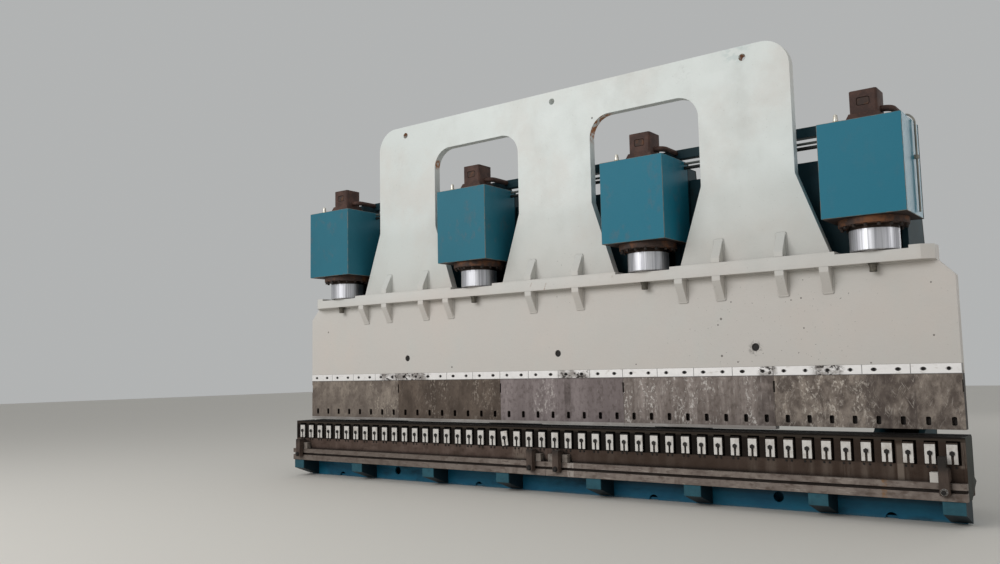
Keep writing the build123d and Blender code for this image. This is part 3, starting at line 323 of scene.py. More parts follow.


# Bare steel that oil and rust have turned dark brown and nearly matt. It is near black round the clamps,
# browner to the right, and the oil is black on top. Paler runs lead down from the clamps, a few pale
# streaks stand by the right end, and a pale smear lies to the left of the joint.
bed_steel, tree = new_tree("oil_stained_steel")
from_clamp = from_nearest(tree, clamps_middle_x - 0.5 * clamp_pitch, clamp_pitch)
under_clamp = add(tree, "ShaderNodeMapRange", {"Value": from_clamp, "From Min": 0.09, "From Max": 0.03},
                  interpolation_type="SMOOTHSTEP").outputs["Result"]
below_clamps = band(tree, "Z", bed_top_z - 0.265, bed_top_z - 0.31)
runs = where(tree, under_clamp, below_clamps, patches(tree, 0.09, 0.38, 0.6, stretch=(1, 1, 0.12)),
             patches(tree, 0.45, 0.4, 0.6, stretch=(1, 1, 0.05), shift=12),
             band(tree, "X", 1.5, 4.0, least=0.10, most=0.38))
streaks = where(tree, strip(tree, "X", 4.385, 4.435, 0.015), strip(tree, "Z", 0.46, 0.78, 0.06))
end_streaks = where(tree, strip(tree, "X", 4.968, 5.03, 0.01), strip(tree, "Z", 0.60, 0.85, 0.03),
                    patches(tree, 0.03, 0.3, 0.6, stretch=(1, 1, 0.15), shift=6))
joint_smear = where(tree, spot(tree, (-0.45, bed_front_y, 0.53), 0.17),
                    patches(tree, 0.04, 0.35, 0.55, stretch=(1, 1, 0.4), shift=16))
pale_marks = either(tree, runs, where(tree, streaks, 0.8), where(tree, end_streaks, 0.75),
                    where(tree, joint_smear, 0.7))
black_round_clamps = where(tree, strip(tree, "Z", bed_top_z - 0.27, bed_top_z - 0.03, 0.02),
                         band(tree, "Y", 0.0, -0.2),
                         band(tree, "X", clean_from_x, clean_to_x, least=0.97, most=0.3))
wiped_lip = strip(tree, "Z", bed_top_z - 0.045, bed_top_z, 0.004)
oil_on_top = band(tree, "Z", bed_top_z - 0.022, bed_top_z - 0.004)
# Painted shade in the corners and pockets, weaker to the right.
recess_shade = where(tree, occlusion_shade(tree, 0.06), band(tree, "X", clean_from_x, clean_to_x, least=1.0, most=0.5))
tone = coats(tree, "#4f413a", (patches(tree, 0.30, 0.35, 0.7), "#65564f"),
             (patches(tree, 0.09, 0.45, 0.75, stretch=(0.6, 1, 1), shift=5), "#40332c"),
             (band(tree, "X", -0.5, 1.0), "#3b2f27", 0.75),
             (pale_marks, "#7d7167"),
             (black_round_clamps, "#14100d"),
             (wiped_lip, "#39322b", 0.8),
             (oil_on_top, "#171412"),
             (recess_shade, "#0f0d0b"))
close_tree(tree, Base_Color=tone, Roughness=patches(tree, 0.12, 0.3, 0.7, least=0.6, most=0.8),
           Specular_IOR_Level=0.1, Normal=grain(tree, 0.02, 0.0006))
eased("bed_left", 0.002, bed_steel)
eased("bed_right", 0.002, bed_steel)

# Front rails: two machined bars along the bed's foot, grooved for the heads of bolts.
# Cold-drawn steel, screwed to the bed's face and left bare.
groove_low = rails_foot_z + 0.085
groove_high = rails_foot_z + 0.113


def marks(tree, width, length, lean, low, high, shift=0.0):
    """A mask of rubbed marks on upright faces, of that size in metres, that lean by so many degrees."""
    place = add(tree, "ShaderNodeTexCoord").outputs["Object"]
    laid = add(tree, "ShaderNodeMapping",
               {"Vector": place, "Location": (shift, shift, shift), "Rotation": (0, math.radians(lean), 0),
                "Scale": (width, 1.0, length)}, vector_type="TEXTURE")
    cloud = add(tree, "ShaderNodeTexNoise",
                {"Vector": laid.outputs["Vector"], "Scale": 1.0, "Detail": 4.0, "Roughness": 0.65})
    mask = add(tree, "ShaderNodeMapRange", {"Value": cloud.outputs["Fac"], "From Min": low, "From Max": high},
               interpolation_type="SMOOTHSTEP")
    return mask.outputs["Result"]


# Dull machined steel with brown handling stains, long light rubs, one run of rust at the right end, a
# patch wiped bright beside the joint, a near-black groove, and painted shade in its corners.
rail_steel, tree = new_tree("dull_machined_steel")
rust_run = where(tree, strip(tree, "X", 4.24, 4.27, 0.02), patches(tree, 0.03, 0.35, 0.6, shift=1))
wiped = where(tree, strip(tree, "X", 0.355, 0.435, 0.012), patches(tree, 0.05, 0.3, 0.55, shift=10))
hand_stains = patches(tree, 0.14, 0.5, 0.7, stretch=(1, 1, 0.3), shift=8)
light_rubs = marks(tree, 0.20, 0.02, 4, 0.58, 0.72, shift=4)
tone = coats(tree, "#72665f", (patches(tree, 0.4, 0.35, 0.65), "#8a7f77"),
             (patches(tree, 0.06, 0.45, 0.7, stretch=(0.5, 1, 1), shift=2), "#5d5048"),
             (hand_stains, "#5a4c44", 0.6),
             (light_rubs, "#b3aaa2", 0.6),
             (band(tree, "X", 0.0, -3.0), "#62574f", 0.5),
             (rust_run, "#8a6030", 0.6),
             (wiped, "#bcb4ac", 0.6),
             (strip(tree, "Z", groove_low, groove_high, 0.001), "#1f1712"),
             # Painted shade in the corners of the rails.
             (occlusion_shade(tree, 0.05), "#2c221c"))
close_tree(tree, Base_Color=tone, Metallic=0.4,
           Roughness=patches(tree, 0.15, 0.3, 0.7, least=0.45, most=0.68),
           Normal=grain(tree, 0.015, 0.0004, stretch=(0.1, 1, 1)))
eased("front_rails", 0.002, rail_steel)

# End plates: flame-cut plates on both ends of the bed, each with a small nose at its back.
# Mild steel with primer on the sides, bolted on; their front edges are bare like the bed.

# Primer, brushed on: flat, thin and dirty, a dark grey green.
green_primer, tree = new_tree("grey_green_primer")
tone = coats(tree, "#292c28", (patches(tree, 0.5, 0.35, 0.65), "#343731"),
             (patches(tree, 0.12, 0.5, 0.75, stretch=(1, 1, 0.4), shift=7), "#29251f"))
close_tree(tree, Base_Color=tone, Roughness=0.65, Specular_IOR_Level=0.25,
           Normal=grain(tree, 0.02, 0.0006))
for face in eased("end_plates", 0.002, green_primer, bed_steel).data.polygons:
    if face.normal.y < -0.5:
        face.material_index = 1

# Clamps: a wedge block in each pocket, with a slotted plate before it that a hexagon bolt pinches.
# Milled steel blocks, surface-ground plates and bought bolts, set by hand.

# Oiled steel: nearly black, browner to the right where less oil has run, and painted shade in its corners.
oily_steel, tree = new_tree("oil_black_steel")
recess_shade = where(tree, occlusion_shade(tree, 0.03), band(tree, "X", clean_from_x, clean_to_x, least=1.0, most=0.4))
tone = coats(tree, "#15110e", (band(tree, "X", 1.5, 3.8), "#41362e"),
             (patches(tree, 0.04, 0.4, 0.7), "#1a1613", 0.5),
             (recess_shade, "#0c0a09"))
close_tree(tree, Base_Color=tone, Roughness=0.65, Specular_IOR_Level=0.25)
eased("wedge_blocks", 0.002, oily_steel)
# Ground steel: bright, with a faint brown bloom. Its upright grinding lines are drawn coarser than the
# real ones, so that they show.
ground_plate, tree = new_tree("ground_steel_plate")
bloom = patches(tree, 0.12, 0.5, 0.7, stretch=(2, 1, 1), shift=4)
tone = coats(tree, "#dad6d1", (patches(tree, 0.09, 0.45, 0.8), "#b9b1a8"), (bloom, "#8f857b", 0.3))
close_tree(tree, Base_Color=tone, Metallic=0.35,
           Roughness=patches(tree, 0.03, 0.3, 0.7, least=0.35, most=0.55),
           Normal=grain(tree, 0.004, 0.0002, stretch=(1, 1, 0.1)))
eased("clamp_plates", 0.0015, ground_plate)
# Blackened steel: a thin black oxide film with a dull brown cast.
black_steel, tree = new_tree("blackened_steel")
tone = coats(tree, "#14110f", (patches(tree, 0.02, 0.45, 0.75), "#2b2420"))
close_tree(tree, Base_Color=tone, Roughness=0.55, Specular_IOR_Level=0.35)
eased("clamp_bolts", 0.002, black_steel)

# Set screws: two small socket screws under each clamp plate, screwed into the bed's face.
# Bought screws in blackened steel, each with a sunk socket.
set_screw_radius = 0.011
set_screw_face_radius = 0.01034
set_screw_rim = 0.00495
set_screw_height = 0.008
set_screw_socket = 0.0048
set_screw_spread = 0.030
set_screw_z = plates_low.z - 0.026
set_screws = bmesh.new()
for number in range(clamp_count):
    for side in (-1, 1):
        clamp_x = clamps_middle_x + (number - (clamp_count - 1) / 2) * clamp_pitch
        centre = Vector((clamp_x + side * set_screw_spread, bed_front_y - set_screw_height / 2, set_screw_z))
        head = bmesh.ops.create_cone(set_screws, cap_ends=True, segments=12, radius1=set_screw_radius,
                                     radius2=set_screw_face_radius, depth=set_screw_height,
                                     matrix=Matrix.Translation(centre) @ Matrix.Rotation(math.pi / 2, 4, "X"))
        front = min({face for vertex in head["verts"] for face in vertex.link_faces},
                    key=lambda face: face.calc_center_median().y)
        bmesh.ops.inset_individual(set_screws, faces=[front], thickness=set_screw_rim, depth=0)
        socket = bmesh.ops.extrude_discrete_faces(set_screws, faces=[front])["faces"]
        bmesh.ops.translate(set_screws, verts=socket[0].verts, vec=(0, set_screw_socket, 0))
show(set_screws, "clamp_set_screws", "frame", "black_steel", black_steel)

# Tie bars: stepped bars over the bed's joint and at both ends, bolted through into the rail groove.
# Rolled steel bars with thick washers under hexagon heads, and loose spacer pads on the rails.

# Rolled steel: brown mill scale, darker towards the top.
tie_steel, tree = new_tree("dark_rolled_steel")
tone = coats(tree, "#42362f", (patches(tree, 0.1, 0.35, 0.7, stretch=(1, 1, 0.4)), "#564840"),
             (band(tree, "Z", 0.50, 0.64), "#241f1b"))
close_tree(tree, Base_Color=tone, Roughness=0.6, Specular_IOR_Level=0.3,
           Normal=grain(tree, 0.02, 0.0006))
eased("tie_bars", 0.003, tie_steel)
# Turned washer edges: dark with oil, and rubbed bright on the right-hand washer.
washer_edge, tree = new_tree("washer_edge_steel")
tone = coats(tree, "#2b2420", (band(tree, "X", 3.0, 4.0), "#cfcac4"))
close_tree(tree, Base_Color=tone, Metallic=0.4, Roughness=0.45)
eased("tie_bolts", 0.004, black_steel, washer_edge)
# Sawn pads: dull grey, with the right-hand one ground bright.
pad_steel, tree = new_tree("dull_steel_pad")
tone = coats(tree, "#7f766e", (patches(tree, 0.05, 0.4, 0.7), "#5f564f"),
             (band(tree, "X", 3.0, 4.0), "#c9c4be"))
close_tree(tree, Base_Color=tone, Metallic=0.2, Roughness=0.55)
eased("spacer_pads", 0.002, pad_steel)

# C-frames: pairs of thick plates behind each cylinder, cut out at the throat, closed by a spine behind.
# Flame-cut and welded steel plate, enamelled teal, with grey green primer on the spines.
cylinder_count = 4
# The same teal enamel, painted dark and dull as the shade on the frames behind the ram, with brown grime.
shade_enamel, tree = new_tree("teal_enamel_dark")
tone = coats(tree, "#0c2a31", (patches(tree, 0.8, 0.35, 0.7), "#133741"),
             (patches(tree, 0.15, 0.6, 0.8, shift=4), "#1c1815"))
close_tree(tree, Base_Color=tone, Roughness=0.6, Specular_IOR_Level=0.25,
           Normal=grain(tree, 0.03, 0.0006))
for number in range(1, cylinder_count + 1):
    eased(f"c_frame_{number}", 0.005, shade_enamel)
for name in ("head_plates", "cross_plates", "guide_blocks"):
    eased(name, 0.003, shade_enamel)
eased("frame_spines", 0.004, green_primer)

# Cylinder housings: square blocks, bored from below, that carry the pistons.
# Forged steel, bolted to the C-frames through the head plates and sprayed with teal enamel.

# Teal enamel: satin and even, with faint scuffs and smears, and glossy on the right side of the last one.
housing_enamel, tree = new_tree("teal_enamel")
last_side_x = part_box("cylinder_housing_4")[1].x
scuffs = patches(tree, 0.09, 0.64, 0.76, stretch=(1, 1, 0.5), shift=9)
smears = where(tree, patches(tree, 0.10, 0.45, 0.65, stretch=(1, 1, 0.6), shift=14),
               patches(tree, 0.5, 0.5, 0.6, shift=17), band(tree, "X", 1.0, 3.4, least=0.25, most=0.05))
gloss_side = band(tree, "X", last_side_x - 0.004, last_side_x - 0.001, least=0.55, most=0.3)
dullness = add(tree, "ShaderNodeMath", {0: gloss_side, 1: where(tree, scuffs, 0.15)}).outputs["Value"]
tone = coats(tree, "#236678", (band(tree, "X", -2.0, 2.0), "#116f86"),
             (patches(tree, 1.2, 0.3, 0.7), "#27768a", 0.3),
             (scuffs, "#56717a", 0.25),
             (smears, "#6a5f5c"))
close_tree(tree, Base_Color=tone, Roughness=dullness, Specular_IOR_Level=0.3,
           Normal=grain(tree, 0.025, 0.0004))
# Rubbed edges: handling has worn the enamel down to a dull brown primer.
rubbed_primer, tree = new_tree("rubbed_primer_edge")
tone = coats(tree, "#7d7468", (patches(tree, 0.10, 0.4, 0.6), "#3f6f78"))
close_tree(tree, Base_Color=tone, Roughness=0.6)
# Undersides: a dark brown on the faces that look down.
dark_underside, tree = new_tree("dark_underside")
tone = coats(tree, "#2b211e", (patches(tree, 0.12, 0.35, 0.7), "#3b2e29"))
close_tree(tree, Base_Color=tone, Roughness=0.6, Specular_IOR_Level=0.3)
for number in range(1, cylinder_count + 1):
    housing = eased(f"cylinder_housing_{number}", 0.006, housing_enamel, rubbed_primer)
    housing.data.materials.append(dark_underside)
    for face in housing.data.polygons:
        if face.normal.z < -0.9:
            face.material_index = 2

# Gland rings: flanged rings under the housings that guide the rods, held by a circle of hexagon bolts.
# Turned cast iron, left bare, and bought bolts.

# Rusted iron: matt and rough, dark brown, with fresh orange rust in patches and a painted orange highlight on
# the front of the last ring.
rusted_iron, tree = new_tree("rusted_cast_iron")
# Painted highlight: an orange spot on the front of the last ring, over the rust.
last_ring_front = (4.28, -0.40, 3.22)
rust_and_highlight = either(tree, spot(tree, last_ring_front, 0.24),
                    where(tree, patches(tree, 0.2, 0.42, 0.6), 0.75))
rust_and_highlight = where(tree, rust_and_highlight, patches(tree, 0.10, 0.35, 0.6))
tone = coats(tree, "#3f302a", (rust_and_highlight, "#754a2c"),
             (patches(tree, 0.04, 0.55, 0.75, shift=6), "#2b211c"))
close_tree(tree, Base_Color=tone, Metallic=0.1, Roughness=0.75,
           Normal=grain(tree, 0.012, 0.0012))
# Rusted bolts: oxide black with brown rust, darker than the ring.
rusted_bolt, tree = new_tree("rusted_bolt_steel")
tone = coats(tree, "#1e1916", (patches(tree, 0.03, 0.4, 0.7), "#3d2c22"))
close_tree(tree, Base_Color=tone, Metallic=0.2, Roughness=0.68)
eased("gland_rings", 0.003, rusted_iron)
eased("ring_bolts", 0.002, rusted_bolt)

# Valve blocks: a flared foot and a square body on each housing, with a port in front and a bent arm.
# Cast iron, left to rust, bolted down on the housing.

# Weathered iron: an even red brown rust, matt, with a few lighter specks.
valve_iron, tree = new_tree("brown_rusted_iron")
tone = coats(tree, "#3d2821", (patches(tree, 0.12, 0.35, 0.7), "#553a30"),
             (patches(tree, 0.03, 0.6, 0.8, shift=8), "#744731"))
close_tree(tree, Base_Color=tone, Metallic=0.15, Roughness=0.7,
           Normal=grain(tree, 0.015, 0.001))
eased("valve_blocks", 0.014, valve_iron)


def dress(name, material):
    """Gives a CAD node its real finish, where its own mesh shows."""
    mesh = nodes[name].data
    mesh.materials.clear()
    mesh.materials.append(material)


dress("valve_arms", valve_iron)

# Port covers: a low cover with round corners over the port of each valve block.
# Cast iron, rusted like the gland rings, and held by the port's own thread.
first_housing_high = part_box("cylinder_housing_1")[1]
cylinder_pitch = (last_side_x - first_housing_high.x) / (cylinder_count - 1)
cover_width = 0.130
cover_depth = 0.036
cover_height = 0.080
cover_corner = 0.02
cover_y = -0.128
cover_rise = 0.253
covers = bmesh.new()
for number in range(cylinder_count):
    cover_x = (number - (cylinder_count - 1) / 2) * cylinder_pitch
    centre = Vector((cover_x, cover_y, first_housing_high.z + cover_rise))
    size = Matrix.Diagonal((cover_width, cover_depth, cover_height, 1))
    bmesh.ops.create_cube(covers, size=1, matrix=Matrix.Translation(centre) @ size)
corners = [rim for rim in covers.edges if abs(rim.verts[0].co.y - rim.verts[1].co.y) > cover_depth / 2]
bmesh.ops.bevel(covers, geom=corners, offset=cover_corner, affect="EDGES", segments=4, profile=0.5,
                material=-1)
show(covers, "port_covers", "frame", "rusty_iron", rusted_iron)

# Bleed fittings: a hexagon nut with a tapered tip on each housing, and a small dark elbow beside it.
# Turned brass, screwed into the housing, and an elbow in blackened steel.

# Dull brass: a pale yellow grey, with darker tarnish.
dull_brass, tree = new_tree("dull_brass")
tone = coats(tree, "#ddd3bd", (patches(tree, 0.02, 0.4, 0.7), "#b9a98a"))
close_tree(tree, Base_Color=tone, Metallic=0.5, Roughness=0.4)
eased("bleed_fittings", 0.002, dull_brass)
dress("fitting_elbows", black_steel)

# Fitting caps: a turned cap pushed over each bleed fitting's tip.
# Turned brass, plated with nickel.

# Nickel plate: bright and slightly warm, worn to a duller tone in spots.
nickel_plate, tree = new_tree("worn_nickel_plate")
tone = coats(tree, "#e9e4da", (patches(tree, 0.03, 0.4, 0.7), "#b8ad98"))
close_tree(tree, Base_Color=tone, Metallic=0.6, Roughness=0.38)
nut_height = 0.035
cap_foot_radius = 0.030
cap_top_radius = 0.021
cap_rounding = 0.006
open_tip = 0.004
fittings_low, fittings_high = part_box("bleed_fittings")
cap_foot_z = fittings_low.z + nut_height
cap_height = fittings_high.z - open_tip - cap_foot_z
first_fitting_x = (fittings_low.x + fittings_high.x - (cylinder_count - 1) * cylinder_pitch) / 2
fittings_y = (fittings_low.y + fittings_high.y) / 2
caps = bmesh.new()
for number in range(cylinder_count):
    centre = Vector((first_fitting_x + number * cylinder_pitch, fittings_y, cap_foot_z + cap_height / 2))
    bmesh.ops.create_cone(caps, cap_ends=True, segments=32, radius1=cap_foot_radius,
                          radius2=cap_top_radius, depth=cap_height, matrix=Matrix.Translation(centre))
rims = [rim for rim in caps.edges if rim.calc_face_angle() > 1]
bmesh.ops.bevel(caps, geom=rims, offset=cap_rounding, affect="EDGES", segments=3, profile=0.5,
                material=-1)
show(caps, "fitting_caps", "frame", "fitting_brass", nickel_plate)

# Header beam and oil pipes: a square beam on saddles behind the housings, and two pipes between them.
# Welded beam in teal enamel, and drawn steel tube that is screwed into the housings.
eased("header_beam", 0.004, shade_enamel)
eased("header_saddles", 0.003, shade_enamel)
# Paint on the drain pipe and its clip: grey beige, brushed on, half glossy.
pipe_paint, tree = new_tree("grey_pipe_paint")
tone = coats(tree, "#77746c", (patches(tree, 0.2, 0.35, 0.7), "#8f8b80"))
close_tree(tree, Base_Color=tone, Roughness=0.45)
dress("drain_pipe", pipe_paint)
eased("pipe_clip", 0.002, pipe_paint)
# Drawn tube: the thick lower pipe is near black, and the thin upper one is a plain dark grey.
dark_pipe, tree = new_tree("dark_oil_pipe")
pipes_low, pipes_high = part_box("oil_pipes")
pipes_middle_z = (pipes_low.z + pipes_high.z) / 2
upper_pipe = band(tree, "Z", pipes_middle_z, pipes_middle_z + 0.001)
tone = coats(tree, "#101312", (patches(tree, 0.2, 0.35, 0.7), "#1d2120"), (upper_pipe, "#4a4e4b"))
close_tree(tree, Base_Color=tone, Roughness=0.55, Specular_IOR_Level=0.3)
dress("oil_pipes", dark_pipe)

# Ram plate: one flat plate of full height, with a crown, flared feet and two cylinder windows.
# Flame-cut and milled rolled steel under grey paint, rolled on. It hangs on the four rods.

# Grey paint: satin, cooler at the top, warmer and yellowed below the shelf, and a little painted shade across
# the feet. It has fine dirt, specks chipped to the dark primer, a stain round the last plug, rust where wear
# has bared the steel inside the windows and lifting holes, hair cracks over the middle of the shelf, and
# painted shade in its corners.
ram_paint, tree = new_tree("pale_grey_paint")
plate_front_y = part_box("ram_plate")[0].y
cool_top = band(tree, "Z", 2.4, 4.2)
left_pier = where(tree, cool_top, band(tree, "X", -0.5, -3.0))
yellowed = patches(tree, 1.3, 0.45, 0.7, shift=8)
uneven = patches(tree, 0.5, 0.45, 0.8, stretch=(1, 1, 0.6))
shaded_feet = strip(tree, "Z", 3.1, 3.7, 0.35)
fine_dirt = patches(tree, 0.022, 0.66, 0.72, shift=11)
dirty = either(tree, spot(tree, (2.55, plate_front_y, 2.1), 0.9), spot(tree, (3.4, plate_front_y, 2.2), 0.8),
               spot(tree, (0.2, -0.2, 2.85), 0.6))
dirt_share = add(tree, "ShaderNodeMapRange", {"Value": dirty, "To Min": 0.3}).outputs["Result"]
fine_dirt = where(tree, fine_dirt, dirt_share)
scraped = either(tree, spot(tree, (2.02, plate_front_y, 5.38), 0.16),
                 where(tree, spot(tree, (-2.95, plate_front_y, 5.05), 0.30), 0.6))
scraped = where(tree, patches(tree, 0.05, 0.5, 0.62, shift=15), scraped)
smeared = where(tree, spot(tree, (2.72, plate_front_y, 5.52), 0.22),
                patches(tree, 0.06, 0.42, 0.6, stretch=(0.5, 1, 1), shift=19))
bare_edges = either(tree, spot(tree, (0.66, 0.0, 5.02), 0.34), spot(tree, (-2.19, 0.0, 4.86), 0.09),
                    spot(tree, (-2.8, 0.0, 5.417), 0.11), spot(tree, (2.8, 0.0, 5.417), 0.10))
inside_openings = strip(tree, "Y", plate_front_y + 0.003, -plate_front_y - 0.003, 0.001)
bare_edges = where(tree, bare_edges, inside_openings, patches(tree, 0.06, 0.40, 0.55, shift=7))
specks = (
    (2.383, 2.227, 0.03), (2.52, 2.426, 0.02), (2.341, 2.156, 0.022), (2.375, 1.778, 0.03),
    (2.575, 1.701, 0.022), (3.369, 2.42, 0.022), (3.252, 2.404, 0.018), (3.385, 2.073, 0.02),
    (4.757, 2.502, 0.02), (4.752, 1.939, 0.022), (-4.6, 2.35, 0.03), (-1.9, 1.72, 0.03),
    (0.652, 5.058, 0.03), (-2.083, 4.861, 0.03), (1.2, 1.7, 0.02), (4.1, 1.66, 0.02),
)
chipped = either(tree, *[spot(tree, (x, plate_front_y, z), 0.6 * reach) for x, z, reach in specks])
plug_stain = where(tree, spot(tree, (2.80, plate_front_y, 1.86), 0.11),
                   patches(tree, 0.04, 0.45, 0.6, shift=23), 0.7)
cracked_places = ((1.04, 2.86), (-0.32, 2.88), (-0.10, 2.81))
cracked = either(tree, *[spot(tree, (x, -0.2, z), 0.10) for x, z in cracked_places])
cracks = where(tree, cracked, marks(tree, 0.025, 0.12, 20, 0.58, 0.66, shift=24))
tone = coats(tree, "#c8c3bd", (cool_top, "#dfe4e1"),
             (left_pier, "#d5dad7"),
             (yellowed, "#cfc4bb", 0.4),
             (uneven, "#c3c4bf", 0.5),
             (shaded_feet, "#b8b9b3", 0.25),
             (fine_dirt, "#6b665e"),
             (scraped, "#9d9f9c", 0.12),
             (smeared, "#a9bcbb", 0.35),
             (bare_edges, "#a8672f"),
             (either(tree, chipped, plug_stain), "#4b443d", 0.85),
             (cracks, "#8c6d55", 0.7),
             # Painted shade in the corners.
             (occlusion_shade(tree, 0.035), "#77736c", 0.55))
close_tree(tree, Base_Color=tone, Roughness=patches(tree, 0.3, 0.3, 0.7, least=0.45, most=0.62),
           Normal=grain(tree, 0.04, 0.0006))
eased("ram_plate", 0.004, ram_paint)

# Shelf and gussets: two thick shelf halves and pairs of tapering gussets, welded to the plate.
# Mild steel under the same pale grey paint, with blackened steel plugs in the plate's blind holes.
eased("shelf_front", 0.005, ram_paint)
eased("shelf_rear", 0.005, ram_paint)
eased("gussets_lower", 0.003, ram_paint)
eased("gussets_upper", 0.003, ram_paint)
dress("hole_plugs", black_steel)

# Weld beads: the runs of weld that join shelf, gussets and plate, laid by hand on both faces of the ram.
# Round beads of weld metal, painted over with the rest.
bead_radius = 0.014
shelf_low, shelf_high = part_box("shelf_front")
plate_y = shelf_high.y
crown_feet_x = ((-3.72, -1.88), (-0.92, 0.92), (1.88, 3.72))
beads = bmesh.new()


def lay_bead(start, end):
    """Lays one round bead of weld from start to end."""
    run = Vector(end) - Vector(start)
    turn = run.to_track_quat("Z", "Y").to_matrix().to_4x4()
    middle = Matrix.Translation((Vector(start) + Vector(end)) / 2)
    bmesh.ops.create_cone(beads, cap_ends=True, segments=10, radius1=bead_radius, radius2=bead_radius,
                          depth=run.length, matrix=middle @ turn)


for side in (1, -1):
    lay_bead((shelf_low.x, side * plate_y, shelf_low.z), (shelf_high.x, side * plate_y, shelf_low.z))
    for start_x, end_x in crown_feet_x:
        lay_bead((start_x, side * plate_y, shelf_high.z), (end_x, side * plate_y, shelf_high.z))
for name, root_z, toe_z in (("gussets_lower", shelf_low.z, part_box("gussets_lower")[0].z),
                            ("gussets_upper", shelf_high.z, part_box("gussets_upper")[1].z)):
    edges_x = sorted({round(corner.co.x, 4) for corner in nodes[name].data.vertices})
    for edge_x in edges_x:
        for side in (1, -1):
            root = (edge_x, side * plate_y, root_z)
            lay_bead(root, (edge_x, side * plate_y, toe_z))
            lay_bead(root, (edge_x, side * (shelf_low.y + bead_radius), root_z))
    for left_x, right_x in zip(edges_x[::2], edges_x[1::2]):
        for side in (1, -1):
            lay_bead((left_x, side * plate_y, toe_z), (right_x, side * plate_y, toe_z))
show(beads, "weld_beads", "ram", "ram_paint", ram_paint, crease=50)

# Clamp bars: twenty short bars along the ram's foot that grip the holders' tangs, each with two sunk
# socket screws into the ram plate. Steel bars, ground all over, and bought screws in blackened steel.
bar_count = 20
bar_screw_pitch = 0.25
ring_squash = 1.6
bars_low, bars_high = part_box("clamp_bars")
bar_pitch = (bars_high.x - bars_low.x) / bar_count
bars_middle_z = (bars_low.z + bars_high.z) / 2
stained_places = ((-3.22, 0.2), (-2.88, 0.3), (-2.62, 0.3), (0.25, 0.3), (2.93, 0.14), (3.62, 0.22))
screws_low, screws_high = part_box("clamp_bar_screws")
screw_radius = (screws_high.z - screws_low.z) / 2
screws_z = (screws_low.z + screws_high.z) / 2
# Ground bar steel: nearly white, with brown and black oil stains on some bars, a dark ring of oil round
# each screw, and a dark line at each joint. The grinding lines are drawn coarser than the real ones.
bar_steel, tree = new_tree("ground_bar_steel")
stained = either(tree, *[spot(tree, (x, bars_low.y, bars_middle_z), reach) for x, reach in stained_places])
brown_stain = where(tree, stained, patches(tree, 0.10, 0.35, 0.6, stretch=(0.6, 1, 1), shift=5))
black_stain = where(tree, stained, patches(tree, 0.035, 0.52, 0.6, stretch=(0.6, 1, 1), shift=9))
along_bar = from_nearest(tree, screws_low.x + screw_radius, bar_screw_pitch)
place = add(tree, "ShaderNodeTexCoord").outputs["Object"]
height = add(tree, "ShaderNodeSeparateXYZ", {"Vector": place}).outputs["Z"]
above_screw = add(tree, "ShaderNodeMath", {0: height, 1: screws_z}, operation="SUBTRACT").outputs["Value"]
squashed = add(tree, "ShaderNodeMath", {0: above_screw, 1: ring_squash}, operation="MULTIPLY")
off_screw = add(tree, "ShaderNodeCombineXYZ", {"X": along_bar, "Y": squashed.outputs["Value"]})
off_screw = add(tree, "ShaderNodeVectorMath", {0: off_screw.outputs["Vector"]}, operation="LENGTH")
oil_ring = add(tree, "ShaderNodeMapRange",
               {"Value": off_screw.outputs["Value"], "From Min": 0.036, "From Max": 0.028})
uneven_oil = patches(tree, 0.3, 0.4, 0.6, stretch=(1, 1, 0.1), shift=13, least=0.4)
oil_ring = where(tree, oil_ring.outputs["Result"], uneven_oil)
joint = add(tree, "ShaderNodeMapRange", {"Value": from_nearest(tree, bars_low.x, bar_pitch),
                                         "From Min": 0.005, "From Max": 0.003}).outputs["Result"]
under_bars = band(tree, "Z", bars_low.z + 0.006, bars_low.z + 0.003)
dark_lines = either(tree, oil_ring, where(tree, joint, 0.7), where(tree, under_bars, 0.7))
tone = coats(tree, "#f1eeec", (patches(tree, 0.06, 0.55, 0.8, stretch=(0.5, 1, 1)), "#c9c2bb"),
             (brown_stain, "#675c54", 0.75),
             (black_stain, "#2f2824"),
             (dark_lines, "#26201c"))
close_tree(tree, Base_Color=tone, Metallic=0.3,
           Roughness=patches(tree, 0.04, 0.3, 0.7, least=0.3, most=0.5),
           Normal=grain(tree, 0.004, 0.0002, stretch=(0.1, 1, 1)))
eased("clamp_bars", 0.002, bar_steel)
dress("clamp_bar_screws", black_steel)

# Tool holders: five thick plates hung from the ram, with a row of bolt slots and a notch at each joint.
# Rolled steel plate, milled along its edges and slots, and gripped by the clamp bars. A ground lip bar
# is screwed under four of them.
slots_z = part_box("tool_holder_1")[0].z + 0.087


